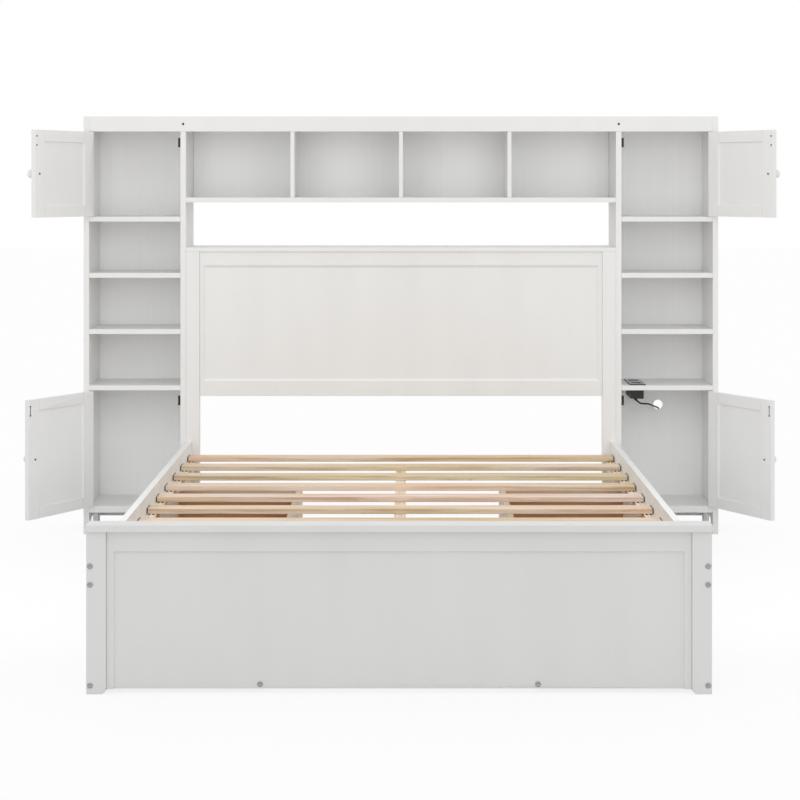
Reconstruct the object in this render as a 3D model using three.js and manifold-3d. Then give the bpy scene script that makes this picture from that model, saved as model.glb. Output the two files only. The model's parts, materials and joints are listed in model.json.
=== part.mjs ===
// Bed with storage headboard: a queen bed frame with four drawers under its slats, and a headboard of
// two cupboard towers that a bridge of cubbies joins over the bed. Millimetres, +Z up, +X to the right
// seen from the foot end, +Y from the footboard to the headboard. The pieces are placed from the front
// face of the foot posts, and the whole is moved at the end, so that the origin is under its middle.
import * as THREE from 'three';
import { mergeVertices } from 'three/addons/utils/BufferGeometryUtils.js';
import Module from 'manifold-3d';

const wasm = await Module();
wasm.setup();

// Gaps and allowances that many pieces share
const seat = 0.3; // between two faces that rest on or lie against each other
const overlap = 0.5; // how far the solids of one piece run into each other
const overrun = 2; // how far a cutting solid passes the face that it cuts

// Bed: a queen mattress lies between the rails, on slats that lie on ledgers and a centre beam
const mattress = { width: 1524, length: 2032, sideRoom: 13 };
const rail = { thickness: 20, height: 93, top: 343 };
const footPost = { width: 50, depth: 40, height: 413, chamfer: 9 };
const footCap = { depth: 60, thickness: 18, frontReach: 10 };
const footPanel = {
  thickness: 22, setBack: 8, floorGap: 11, topBand: 52, endBand: 18, relief: 6, reliefSlope: 2,
};
const bolt = {
  headRadius: 7.5, headHeight: 2, socketRadius: 3.2, socketDepth: 1.4, dropFromRail: 17, spacing: 47,
  frameRise: 12, socketSides: 6,
};
const slat = { count: 10, width: 64, thickness: 16, recess: 40, footGap: 64, headGap: 59, endGap: 0.9 };
const ledger = { width: 30, height: 30 };
const beam = { width: 35, height: 60, endInset: 8, legPlaceShares: [0.12, 0.52, 0.92] };

// Drawer frame under each rail: lower rail, stiles, end panel, inner board, end board and runners
const drawerFrame = {
  floorGap: 11, railHeight: 29, footStile: 20, midStile: 30, endPanel: 342, board: 18, innerDrop: 20,
};
const runner = { width: 30, thickness: 22, lip: 8, lipHeight: 20, lipRoom: 2 };
const drawer = {
  count: 2, depth: 430, backRoom: 2, front: 18, sideGap: 3, topGap: 3, bottomGap: 4, boxInset: 10,
  wall: 12, wallHeight: 150, bottomRise: 8, bottom: 6,
};

// Headboard towers: heights add up from the floor
const tower = { depth: 240, side: 20, cabinetWidth: 338 };
const arch = { frontFoot: 47, rearFoot: 44, height: 55, radius: 20 };
const bottomBoard = { top: 104, thickness: 24 };
const lowerCabinet = { height: 428 };
const openBay = { count: 3, height: 190 };
const upperCabinet = { height: 315 };
const shelf = { thickness: 18 };
const fascia = { height: 56, thickness: 18 };
const topBoard = { thickness: 18 };
const back = { thickness: 5, floorGap: 25 };
const cableHole = { radius: 18, fromPartition: 168.7, height: 450 };
const fasciaScrew = { radius: 4.5, height: 1.2, drop: 28 };

// Between the towers: bridge, ledge and panel
const bridge = { cubbyHeight: 282, floor: 18, divider: 15, dividers: 3 };
const ledge = { thickness: 15, gapUnderBridge: 167 };
const headPost = { width: 50, depth: 30 };
const headPanel = {
  height: 534, thickness: 18, setBack: 6, topRail: 50, bottomRail: 55, endStile: 12, relief: 6,
  reliefSlope: 9,
};

// Doors: framed boards that stand flush in the cabinets, on butt hinges at the outer sides
const door = {
  gap: 2, thickness: 18, stile: 52, rail: 40, relief: 5.5, reliefSlope: 2, upperKnobInset: 22,
  lowerKnobInset: 32,
};
const doorOpenDegrees = { leftUpper: 117.5, leftLower: 122.5, rightUpper: 122.5, rightLower: 121 };
const hinge = {
  radius: 4, axisForward: 3, axisInset: 1.5, knuckles: 3, knuckle: 20, pinRadius: 1.6, clearance: 0.4,
  leaf: 0.8, leafDepth: 14, fromDoorEnd: 75,
};
const magnetCatch = { height: 34, width: 11, depth: 16, fromDoorTop: 38, gap: 0.5 };
const strike = { height: 40, width: 12, thickness: 1.2, edgeInset: 1 };
const knob = { radius: 15, length: 28 };
const knobScrew = { radius: 4.5, height: 2 };

// Power socket in the right tower, its cord, the coil of spare cord and the plug
const socket = {
  fromPartition: 61.7, frontInset: 8, plateWidth: 58, plateDepth: 180, plateThickness: 3.5,
  bodyWidth: 48, bodyDepth: 156, bodyFront: 24, bodyBelowShelf: 52, room: 0.5, outletWidth: 36,
  outletDepth: 34, outletStep: 82.5,
  outletRecess: 1.6, slotDepth: 8, slotWidth: 2.4, slotLength: 8, slotSpacing: 12.7,
  earthRadius: 2.6, earthOffset: 8, glandLength: 20, glandRadius: 6.5, glandTip: 4.2, glandFromBack: 92,
  glandFromMiddle: 7, glandTiltDegrees: 45,
};
const cord = { radius: 3, sides: 8, steps: 56 };
const coil = { turns: 5.5, climbTurns: 0.5, turnGap: 0.6, stepsPerTurn: 24, sides: 6, floorGap: 0.3 };
const coilMiddleRadius = 33;
const plug = {
  width: 27, length: 34, reliefLength: 24, reliefTip: 4.2, neck: 7, bladeLength: 16, bladeWidth: 6.3,
  bladeThickness: 1.5, bladeSpacing: 12.7, earthRadius: 2.4, earthLength: 18, cornerRadius: 4,
};

// Facets of round pieces
const knobSides = 20;
const boltSides = 16;
const knuckleSides = 16;
const holeSides = 32;
const archSteps = 6;

// The cord's free stretch, chosen by hand: out of the socket's strain relief, through the hole in the
// back, down behind the tower and along the floor to the coil. Placed as the pieces are, before the
// last move.
const cordRoute = [
  [884.3, 2160, 483.7], [888.8, 2160.4, 479.3], [895, 2162.5, 475], [903, 2167.5, 472], [912, 2175, 470.3],
  [921, 2185, 468.7], [930, 2198, 466.3], [938.5, 2213, 463], [946.5, 2229, 459], [954.5, 2246, 454.7],
  [962.5, 2263, 450.3], [970.5, 2280, 446], [977.5, 2296, 442], [983.5, 2311, 438.6], [987.5, 2323, 435],
  [990.3, 2335, 429.5], [991.6, 2346, 421], [992, 2355, 408.5], [992, 2361, 392], [992, 2366, 370],
  [992, 2372, 335], [992, 2380, 290], [992, 2388, 245], [992, 2396, 200], [992, 2405, 150],
  [992, 2416, 105], [992, 2429, 68], [992, 2443, 40], [992, 2459, 19], [992, 2477, 7.5],
  [992, 2493, 3.6], [992, 2505, 3.3], [992, 2513.4, 3.3],
];

// Places that follow from the sizes above, across the bed
const railInner = mattress.width / 2 + mattress.sideRoom;
const bedHalf = railInner + rail.thickness;
const partitionInner = bedHalf + seat;
const partitionOuter = partitionInner + tower.side;
const outerInner = partitionOuter + tower.cabinetWidth;
const outerOuter = outerInner + tower.side;
const innerBoardOuter = bedHalf - drawer.depth - drawer.backRoom;
const innerBoardInner = innerBoardOuter - drawerFrame.board;

// Along the bed
const headFront = footPost.depth + mattress.length;
const footPanelBack = footPanel.setBack + footPanel.thickness;
const openingsStart = footPost.depth + drawerFrame.footStile;
const openingsEnd = headFront - drawerFrame.endPanel;
const openingWidth = (openingsEnd - openingsStart - drawerFrame.midStile) / drawer.count;

// Above the floor
const railBottom = rail.top - rail.height;
const slatTop = rail.top - slat.recess;
const slatBottom = slatTop - slat.thickness;
const ledgerTop = slatBottom - seat;
const frameTop = railBottom - seat;
const frameRailTop = drawerFrame.floorGap + drawerFrame.railHeight;
const drawerBottom = frameRailTop + drawer.bottomGap;
const drawerFrontHeight = railBottom - drawer.topGap - drawerBottom;
const lowerShelfTop = bottomBoard.top + lowerCabinet.height + shelf.thickness;
const bayStep = openBay.height + shelf.thickness;
const upperFloorTop = lowerShelfTop + openBay.count * bayStep;
const fasciaBottom = upperFloorTop + upperCabinet.height;
const towerTop = fasciaBottom + fascia.height;
const topBoardBottom = towerTop - topBoard.thickness;
const bridgeFloorTop = topBoardBottom - bridge.cubbyHeight;
const bridgeFloorBottom = bridgeFloorTop - bridge.floor;
const ledgeTop = bridgeFloorBottom - ledge.gapUnderBridge;
const ledgeBottom = ledgeTop - ledge.thickness;

// Doors
const doorWidth = tower.cabinetWidth - 2 * door.gap;
const doorEdge = door.gap - hinge.axisInset;
const doorBack = hinge.axisForward + door.thickness;
const hingeHalf = (hinge.knuckles * hinge.knuckle) / 2;

// Materials
const whitePaint = new THREE.MeshStandardMaterial({ color: '#f1f0ee', roughness: 0.55, flatShading: true });
const pine = new THREE.MeshStandardMaterial({ color: '#e1cfb8', roughness: 0.7, flatShading: true });
const plywood = new THREE.MeshStandardMaterial({ color: '#c49a6c', roughness: 0.7, flatShading: true });
const blackPlastic = new THREE.MeshStandardMaterial({ color: '#1c1c1d', roughness: 0.5, flatShading: true });
const blackCord = new THREE.MeshStandardMaterial({ color: '#161616', roughness: 0.6, flatShading: true });

const bedModel = new THREE.Group();

// Solids: geometry turned into a solid that can be joined and cut, and back
function solidOf(geometry) {
  const bare = geometry.clone();
  bare.deleteAttribute('normal');
  bare.deleteAttribute('uv');
  const merged = mergeVertices(bare);
  return new wasm.Manifold(new wasm.Mesh({
    numProp: 3,
    vertProperties: Float32Array.from(merged.attributes.position.array),
    triVerts: Uint32Array.from(merged.index.array),
  }));
}

function geometryOf(solid) {
  const mesh = solid.getMesh();
  const geometry = new THREE.BufferGeometry();
  geometry.setAttribute('position', new THREE.BufferAttribute(Float32Array.from(mesh.vertProperties), 3));
  geometry.setIndex(new THREE.BufferAttribute(Uint32Array.from(mesh.triVerts), 1));
  geometry.computeVertexNormals();
  return geometry;
}

function joined(solids) {
  return solids.reduce((whole, next) => whole.add(next));
}

function cutBy(solid, cutters) {
  return cutters.reduce((whole, next) => whole.subtract(next), solid);
}

// A rectangular block between two values on each axis, given in either order
function block(xs, ys, zs) {
  const sizes = [xs, ys, zs].map(([from, to]) => Math.abs(to - from));
  const middles = [xs, ys, zs].map(([from, to]) => (from + to) / 2);
  return new THREE.BoxGeometry(...sizes).translate(...middles);
}

function blockSolid(xs, ys, zs) {
  return solidOf(block(xs, ys, zs));
}

// A pocket cut into a face that looks along Y: its sides slope in towards its floor
function pocketSolid(xs, zs, face, outward, depth, slope) {
  const spread = (slope * overrun) / depth;
  const [xLow, xHigh] = [Math.min(...xs) - spread, Math.max(...xs) + spread];
  const [zLow, zHigh] = [Math.min(...zs) - spread, Math.max(...zs) + spread];
  const floor = face - outward * depth;
  const mouth = face + outward * overrun;
  const geometry = block([xLow, xHigh], [floor, mouth], [zLow, zHigh]);
  const points = geometry.attributes.position;
  for (let i = 0; i < points.count; i += 1) {
    if (Math.abs(points.getY(i) - floor) < overrun / 2) {
      points.setX(i, points.getX(i) > (xLow + xHigh) / 2 ? xHigh - spread - slope : xLow + spread + slope);
      points.setZ(i, points.getZ(i) > (zLow + zHigh) / 2 ? zHigh - spread - slope : zLow + spread + slope);
    }
  }
  return solidOf(geometry);
}

// An outline in the Y-Z plane, made thick along X
function boardAcross(outline, xs) {
  const thickness = Math.abs(xs[1] - xs[0]);
  const geometry = new THREE.ExtrudeGeometry(outline, {
    depth: thickness, bevelEnabled: false, curveSegments: archSteps,
  });
  const turn = new THREE.Matrix4().makeBasis(
    new THREE.Vector3(0, 1, 0),
    new THREE.Vector3(0, 0, 1),
    new THREE.Vector3(1, 0, 0),
  );
  return geometry.applyMatrix4(turn).translate(Math.min(...xs), 0, 0);
}

// Round bars along each axis, from one end to the other
function barAlongX(radius, xs, y, z, sides) {
  const length = Math.abs(xs[1] - xs[0]);
  const geometry = new THREE.CylinderGeometry(radius, radius, length, sides).rotateZ(Math.PI / 2);
  return solidOf(geometry.translate((xs[0] + xs[1]) / 2, y, z));
}

function barAlongY(radius, x, ys, z, sides) {
  const length = Math.abs(ys[1] - ys[0]);
  const geometry = new THREE.CylinderGeometry(radius, radius, length, sides);
  return solidOf(geometry.translate(x, (ys[0] + ys[1]) / 2, z));
}

function barAlongZ(radius, x, y, zs, sides) {
  const length = Math.abs(zs[1] - zs[0]);
  const geometry = new THREE.CylinderGeometry(radius, radius, length, sides).rotateX(Math.PI / 2);
  return solidOf(geometry.translate(x, y, (zs[0] + zs[1]) / 2));
}

// Adding pieces: a plain board is a box at its place, a worked piece keeps the places in its solid
function addBoard(group, name, xs, ys, zs, material) {
  const sizes = [xs, ys, zs].map(([from, to]) => Math.abs(to - from));
  const mesh = new THREE.Mesh(new THREE.BoxGeometry(...sizes), material);
  mesh.position.set((xs[0] + xs[1]) / 2, (ys[0] + ys[1]) / 2, (zs[0] + zs[1]) / 2);
  mesh.name = name;
  group.add(mesh);
}

function addPiece(group, name, geometry, material) {
  const mesh = new THREE.Mesh(geometry, material);
  mesh.name = name;
  group.add(mesh);
  return mesh;
}

// A turned mushroom knob that stands up from the X-Y plane along Y, with a foot inside its carrier
function knobGeometry() {
  const profileShares = [
    [0, 0], [0.42, 0], [0.4, 0.3], [0.46, 0.42], [0.82, 0.54], [1, 0.68], [0.96, 0.84], [0.7, 0.96], [0, 1],
  ];
  const profile = profileShares.map(([radiusShare, lengthShare], index) => new THREE.Vector2(
    radiusShare * knob.radius,
    index < 2 ? -overlap : lengthShare * knob.length,
  ));
  return new THREE.LatheGeometry(profile, knobSides);
}

// A bolt head on a face that looks to the foot end, with its six-sided socket
function boltHead(x, face, z) {
  const top = face - bolt.headHeight;
  const head = barAlongY(bolt.headRadius, x, [face + overlap, top], z, boltSides);
  const depth = [top + bolt.socketDepth, top - overrun];
  return head.subtract(barAlongY(bolt.socketRadius, x, depth, z, bolt.socketSides));
}

const sides = [
  { word: 'left', sign: -1, upperOpen: doorOpenDegrees.leftUpper, lowerOpen: doorOpenDegrees.leftLower },
  { word: 'right', sign: 1, upperOpen: doorOpenDegrees.rightUpper, lowerOpen: doorOpenDegrees.rightLower },
];

// Footboard: two posts, a panel let in between them and a cap over all three
function footPostOutline(sign) {
  const [inner, outer] = [sign * (bedHalf - footPost.width), sign * bedHalf];
  const top = footPost.height;
  return new THREE.Shape([
    new THREE.Vector2(outer, 0),
    new THREE.Vector2(outer, top),
    new THREE.Vector2(inner, top),
    new THREE.Vector2(inner, footPost.chamfer),
    new THREE.Vector2(inner + sign * footPost.chamfer, 0),
  ]);
}

function addFootboard(group) {
  const boltX = bedHalf - rail.thickness / 2;
  const frameBoltHeight = drawerFrame.floorGap + bolt.frameRise;
  const boltHeights = [
    rail.top - bolt.dropFromRail, rail.top - bolt.dropFromRail - bolt.spacing, frameBoltHeight,
  ];
  for (const { word, sign } of sides) {
    const post = new THREE.ExtrudeGeometry(footPostOutline(sign), {
      depth: footPost.depth, bevelEnabled: false,
    });
    post.rotateX(Math.PI / 2).translate(0, footPost.depth, 0);
    const heads = boltHeights.map((height) => boltHead(sign * boltX, 0, height));
    addPiece(group, `${word}_foot_post`, geometryOf(joined([solidOf(post), ...heads])), whitePaint);
  }

  const half = bedHalf - footPost.width - seat;
  const top = footPost.height;
  const front = footPanel.setBack;
  const panel = blockSolid([-half, half], [front, footPanelBack], [footPanel.floorGap, top]);
  const field = pocketSolid(
    [-half + footPanel.endBand, half - footPanel.endBand],
    [footPanel.floorGap - 2 * overrun, top - footPanel.topBand],
    front, -1, footPanel.relief, footPanel.reliefSlope,
  );
  const boardMiddle = (innerBoardInner + innerBoardOuter) / 2;
  const fieldFront = front + footPanel.relief;
  const heads = [-1, 1].map((sign) => boltHead(sign * boardMiddle, fieldFront, frameBoltHeight));
  addPiece(group, 'footboard_panel', geometryOf(joined([panel.subtract(field), ...heads])), whitePaint);

  const capFront = -footCap.frontReach;
  const capBottom = top + seat;
  addBoard(
    group, 'footboard_cap', [-bedHalf, bedHalf], [capFront, capFront + footCap.depth],
    [capBottom, capBottom + footCap.thickness], whitePaint,
  );
}

// Rails, ledgers, centre beam and slats
function slatFront(index) {
  const pitch = (mattress.length - slat.footGap - slat.headGap - slat.width) / (slat.count - 1);
  return footPost.depth + slat.footGap + index * pitch;
}

function addSlatBed(group) {
  const run = [footPost.depth + seat, headFront - seat];
  for (const { word, sign } of sides) {
    addBoard(
      group, `${word}_side_rail`, [sign * railInner, sign * bedHalf], run, [railBottom, rail.top],
      whitePaint,
    );
    const ledgerOuter = railInner - seat;
    addBoard(
      group, `${word}_slat_ledger`, [sign * (ledgerOuter - ledger.width), sign * ledgerOuter], run,
      [ledgerTop - ledger.height, ledgerTop], pine,
    );
  }

  const beamStart = footPanelBack + seat;
  const beamEnd = slatFront(slat.count - 2) + slat.width - beam.endInset;
  const beamBottom = ledgerTop - beam.height;
  const half = beam.width / 2;
  const bar = blockSolid([-half, half], [beamStart, beamEnd], [beamBottom, ledgerTop]);
  const legs = beam.legPlaceShares.map((share) => {
    const middle = beamStart + share * (beamEnd - beamStart);
    return blockSolid([-half, half], [middle - half, middle + half], [0, beamBottom + overlap]);
  });
  addPiece(group, 'centre_beam', geometryOf(joined([bar, ...legs])), pine);

  const slatHalf = railInner - slat.endGap;
  for (let index = 0; index < slat.count; index += 1) {
    const front = slatFront(index);
    addBoard(
      group, `slat_${index + 1}`, [-slatHalf, slatHalf], [front, front + slat.width],
      [slatBottom, slatTop], pine,
    );
  }
}

// Drawer frame: what the drawers of one side stand in and run on
function drawerOpening(index) {
  const start = openingsStart + index * (openingWidth + drawerFrame.midStile);
  return [start, start + openingWidth];
}

function addDrawerFrame(group, { word, sign }) {
  const face = [sign * railInner, sign * bedHalf];
  const low = drawerFrame.floorGap;
  const start = footPost.depth + seat;
  const end = headFront - seat;
  const solids = [blockSolid(face, [start, end], [low, frameRailTop])];
  const midStart = drawerOpening(0)[1];
  const upright = [[start, openingsStart], [midStart, midStart + drawerFrame.midStile], [openingsEnd, end]];
  for (const ys of upright) {
    solids.push(blockSolid(face, ys, [low, frameTop]));
  }
  const innerTop = frameTop - drawerFrame.innerDrop;
  const innerStart = footPanelBack + seat;
  const endBoard = [openingsEnd + overlap, openingsEnd + overlap + drawerFrame.board];
  const innerBoard = [sign * innerBoardInner, sign * innerBoardOuter];
  solids.push(blockSolid(innerBoard, [innerStart, endBoard[1]], [low, innerTop]));
  const across = [sign * (innerBoardOuter - overlap), sign * (railInner + overlap)];
  solids.push(blockSolid(across, endBoard, [low, innerTop]));

  const runnerTop = drawerBottom - seat;
  const lipReach = [sign * (innerBoardOuter - overlap), sign * (railInner - overlap)];
  for (let index = 0; index < drawer.count; index += 1) {
    const [from, to] = drawerOpening(index);
    for (const [edge, inward] of [[from, 1], [to, -1]]) {
      const lipInner = edge + inward * (drawer.sideGap + drawer.boxInset - runner.lipRoom);
      const lipOuter = lipInner - inward * runner.lip;
      const base = [lipOuter, lipOuter + inward * runner.width];
      solids.push(blockSolid(across, base, [runnerTop - runner.thickness, runnerTop]));
      const lipHeight = [runnerTop - overlap, runnerTop + runner.lipHeight];
      solids.push(blockSolid(lipReach, [lipInner, lipOuter], lipHeight));
    }
  }
  addPiece(group, `${word}_drawer_frame`, geometryOf(joined(solids)), whitePaint);
}

// Drawer: its own frame has the outer face of its front at x = 0, looking along +X, and its bottom at z = 0
function drawerGeometry() {
  const frontHalf = openingWidth / 2 - drawer.sideGap;
  const boxHalf = frontHalf - drawer.boxInset;
  const boxBack = -drawer.depth;
  const intoFront = -drawer.front + overlap;
  const wallZ = [0, drawer.wallHeight];
  const front = blockSolid([-drawer.front, 0], [-frontHalf, frontHalf], [0, drawerFrontHeight]);
  const walls = [-1, 1].map((sign) => blockSolid(
    [boxBack, intoFront], [sign * boxHalf, sign * (boxHalf - drawer.wall)], wallZ,
  ));
  const backWall = blockSolid([boxBack, boxBack + drawer.wall], [-boxHalf, boxHalf], wallZ);
  const bottomHalf = boxHalf - drawer.wall + overlap;
  const bottom = blockSolid(
    [boxBack + overlap, intoFront], [-bottomHalf, bottomHalf],
    [drawer.bottomRise, drawer.bottomRise + drawer.bottom],
  );
  const middle = drawerFrontHeight / 2;
  const pull = solidOf(knobGeometry().rotateZ(-Math.PI / 2).translate(0, 0, middle));
  const screw = barAlongX(
    knobScrew.radius, [-drawer.front - knobScrew.height, intoFront], 0, middle, boltSides,
  );
  return geometryOf(joined([front, ...walls, backWall, bottom, pull, screw]));
}

function addDrawers(group) {
  const geometry = drawerGeometry();
  const places = ['foot', 'head'];
  for (const { word, sign } of sides) {
    places.forEach((place, index) => {
      const [from, to] = drawerOpening(index);
      const mesh = addPiece(group, `${word}_${place}_drawer`, geometry, plywood);
      mesh.position.set(sign * bedHalf, (from + to) / 2, drawerBottom);
      mesh.rotation.z = sign > 0 ? 0 : Math.PI;
    });
  }
}

// Headboard pieces are placed from the front plane of the towers, which is y = 0 in their group
function archedOutline(topPoints) {
  const outline = new THREE.Shape();
  const { frontFoot, rearFoot, height, radius } = arch;
  outline.moveTo(0, 0);
  outline.lineTo(frontFoot, 0);
  outline.lineTo(frontFoot, height - radius);
  outline.absarc(frontFoot + radius, height - radius, radius, Math.PI, Math.PI / 2, true);
  outline.absarc(tower.depth - rearFoot - radius, height - radius, radius, Math.PI / 2, 0, true);
  outline.lineTo(tower.depth - rearFoot, 0);
  outline.lineTo(tower.depth, 0);
  topPoints.forEach(([y, z]) => outline.lineTo(y, z));
  outline.closePath();
  return outline;
}

// The upper end of a board that stands under the top board and behind the fascia
const notchedTop = [
  [tower.depth, topBoardBottom - seat],
  [fascia.thickness + seat, topBoardBottom - seat],
  [fascia.thickness + seat, fasciaBottom - seat],
  [0, fasciaBottom - seat],
];

// The doors of one tower: their heights, knob places and rest angles
function doorsOf(side) {
  return [
    {
      name: `${side.word}_upper_door`, bottom: upperFloorTop + door.gap, top: fasciaBottom - door.gap,
      knobInset: door.upperKnobInset, open: side.upperOpen,
    },
    {
      name: `${side.word}_lower_door`, bottom: bottomBoard.top + door.gap,
      top: bottomBoard.top + lowerCabinet.height - door.gap, knobInset: door.lowerKnobInset,
      open: side.lowerOpen,
    },
  ];
}

function hingeHeights(bottom, top) {
  return [bottom + hinge.fromDoorEnd, top - hinge.fromDoorEnd];
}

// Butt hinge, fixed half: two knuckles with the pin through all three, and a leaf on the side's face
function fixedKnuckleSpans(middle) {
  return [
    [middle - hingeHalf, middle - hinge.knuckle / 2],
    [middle + hinge.knuckle / 2, middle + hingeHalf],
  ];
}

function addOuterSide(group, side) {
  const { word, sign } = side;
  const axisX = sign * (outerInner - hinge.axisInset);
  const axisY = -hinge.axisForward;
  const outline = archedOutline([[tower.depth, towerTop], [0, towerTop]]);
  let solid = solidOf(boardAcross(outline, [sign * outerInner, sign * outerOuter]));
  for (const { bottom, top } of doorsOf(side)) {
    for (const middle of hingeHeights(bottom, top)) {
      const whole = [middle - hingeHalf, middle + hingeHalf];
      const leaf = blockSolid(
        [sign * (outerInner + overlap), sign * (outerInner - hinge.leaf)], [axisY, hinge.leafDepth], whole,
      );
      const relief = barAlongZ(
        hinge.radius + hinge.clearance, axisX, axisY,
        [middle - hinge.knuckle / 2, middle + hinge.knuckle / 2], knuckleSides,
      );
      const knuckles = fixedKnuckleSpans(middle).map(
        (span) => barAlongZ(hinge.radius, axisX, axisY, span, knuckleSides),
      );
      const pin = barAlongZ(hinge.pinRadius, axisX, axisY, whole, knuckleSides);
      solid = joined([solid.add(leaf).subtract(relief), ...knuckles, pin]);
    }
  }
  addPiece(group, `${word}_outer_side`, geometryOf(solid), whitePaint);
}

// Inner side, with the magnetic catches that hold the closed doors
function addInnerSide(group, side) {
  const { word, sign } = side;
  const faces = [sign * partitionInner, sign * partitionOuter];
  const board = solidOf(boardAcross(archedOutline(notchedTop), faces));
  const catchFront = door.thickness + strike.thickness + magnetCatch.gap;
  const catches = doorsOf(side).map(({ top }) => {
    const middle = top - magnetCatch.fromDoorTop;
    return blockSolid(
      [sign * (partitionOuter - overlap), sign * (partitionOuter + magnetCatch.width)],
      [catchFront, catchFront + magnetCatch.depth],
      [middle - magnetCatch.height / 2, middle + magnetCatch.height / 2],
    );
  });
  addPiece(group, `${word}_inner_side`, geometryOf(joined([board, ...catches])), whitePaint);
}

// Shelves of one tower. The right lower cabinet's top is cut out for the power socket.
const socketMiddle = partitionOuter + socket.fromPartition;
const socketPlateY = [socket.frontInset, socket.frontInset + socket.plateDepth];
const socketBodyY = [socket.bodyFront, socket.bodyFront + socket.bodyDepth];

function addShelves(group, { word, sign }) {
  const xs = [sign * (partitionOuter + seat), sign * (outerInner - seat)];
  const ys = [0, tower.depth];
  addBoard(
    group, `${word}_cabinet_bottom`, xs, ys, [bottomBoard.top - bottomBoard.thickness, bottomBoard.top],
    whitePaint,
  );
  addBoard(
    group, `${word}_upper_cabinet_floor`, xs, ys, [upperFloorTop - shelf.thickness, upperFloorTop],
    whitePaint,
  );
  ['lower', 'upper'].forEach((place, index) => {
    const top = lowerShelfTop + (index + 1) * bayStep;
    addBoard(group, `${word}_${place}_shelf`, xs, ys, [top - shelf.thickness, top], whitePaint);
  });
  const topZ = [lowerShelfTop - shelf.thickness, lowerShelfTop];
  if (sign < 0) {
    addBoard(group, `${word}_lower_cabinet_top`, xs, ys, topZ, whitePaint);
    return;
  }
  const half = socket.bodyWidth / 2 + socket.room;
  const cutOut = blockSolid(
    [socketMiddle - half, socketMiddle + half],
    [socketBodyY[0] - socket.room, socketBodyY[1] + socket.room],
    [topZ[0] - overrun, topZ[1] + overrun],
  );
  const board = blockSolid(xs, ys, topZ).subtract(cutOut);
  addPiece(group, `${word}_lower_cabinet_top`, geometryOf(board), whitePaint);
}

// Door: its own frame has the hinge axis at x = 0 and y = 0 and the door's bottom edge at z = 0. Closed,
// the door runs from the axis towards the middle of the bed, with its outer face to the foot end.
function doorGeometry(towardsMiddle, height, knobInset) {
  const along = (distance) => towardsMiddle * (doorEdge + distance);
  const face = hinge.axisForward;
  const pocketX = [along(door.stile), along(doorWidth - door.stile)];
  const pocketZ = [door.rail, height - door.rail];
  let solid = cutBy(blockSolid([along(0), along(doorWidth)], [face, doorBack], [0, height]), [
    pocketSolid(pocketX, pocketZ, face, -1, door.relief, door.reliefSlope),
    pocketSolid(pocketX, pocketZ, doorBack, 1, door.relief, door.reliefSlope),
  ]);
  for (const middle of hingeHeights(0, height)) {
    const leaf = blockSolid(
      [along(overlap), along(-hinge.leaf)], [0, hinge.axisForward + hinge.leafDepth],
      [middle - hingeHalf, middle + hingeHalf],
    );
    const reliefs = fixedKnuckleSpans(middle).map(([from, to]) => barAlongZ(
      hinge.radius + hinge.clearance, 0, 0, [from - hinge.clearance, to + hinge.clearance], knuckleSides,
    ));
    const half = hinge.knuckle / 2 - hinge.clearance;
    const knuckle = barAlongZ(hinge.radius, 0, 0, [middle - half, middle + half], knuckleSides);
    const bore = barAlongZ(
      hinge.pinRadius + hinge.clearance, 0, 0, [middle - hingeHalf, middle + hingeHalf], knuckleSides,
    );
    solid = cutBy(solid.add(leaf), reliefs).add(knuckle).subtract(bore);
  }
  const knobX = along(doorWidth - knobInset);
  const pull = solidOf(knobGeometry().rotateX(Math.PI).translate(knobX, face, height / 2));
  const screw = barAlongY(
    knobScrew.radius, knobX, [doorBack - overlap, doorBack + knobScrew.height], height / 2, boltSides,
  );
  const strikeMiddle = height - magnetCatch.fromDoorTop;
  const plate = blockSolid(
    [along(doorWidth - strike.edgeInset - strike.width), along(doorWidth - strike.edgeInset)],
    [doorBack - overlap, doorBack + strike.thickness],
    [strikeMiddle - strike.height / 2, strikeMiddle + strike.height / 2],
  );
  return geometryOf(joined([solid, pull, screw, plate]));
}

function addDoors(group, side) {
  for (const { name, bottom, top, knobInset, open } of doorsOf(side)) {
    const mesh = addPiece(group, name, doorGeometry(-side.sign, top - bottom, knobInset), whitePaint);
    mesh.position.set(side.sign * (outerInner - hinge.axisInset), -hinge.axisForward, bottom);
    mesh.rotation.z = side.sign * THREE.MathUtils.degToRad(open);
  }
}

// Back panels: one behind each tower and one behind the bridge
function addBacks(group) {
  const ys = [tower.depth + seat, tower.depth + seat + back.thickness];
  for (const { word, sign } of sides) {
    const panel = blockSolid([sign * partitionInner, sign * outerOuter], ys, [back.floorGap, towerTop]);
    const hole = barAlongY(
      cableHole.radius, partitionOuter + cableHole.fromPartition, [ys[0] - overrun, ys[1] + overrun],
      cableHole.height, holeSides,
    );
    addPiece(group, `${word}_tower_back`, geometryOf(panel.subtract(hole)), whitePaint);
  }
  addBoard(group, 'bridge_back', [-bedHalf, bedHalf], ys, [bridgeFloorBottom, towerTop], whitePaint);
}

// Top board and fascia run over both towers and the bridge. A screw head shows over each partition.
function addTop(group) {
  const half = outerInner - seat;
  addBoard(
    group, 'top_board', [-half, half], [fascia.thickness + seat, tower.depth], [topBoardBottom, towerTop],
    whitePaint,
  );
  const screws = [-1, 1].map((sign) => barAlongY(
    fasciaScrew.radius, sign * (partitionInner + tower.side / 2), [overlap, -fasciaScrew.height],
    towerTop - fasciaScrew.drop, boltSides,
  ));
  const board = blockSolid([-half, half], [0, fascia.thickness], [fasciaBottom, towerTop]);
  addPiece(group, 'top_fascia', geometryOf(joined([board, ...screws])), whitePaint);
}

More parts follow.
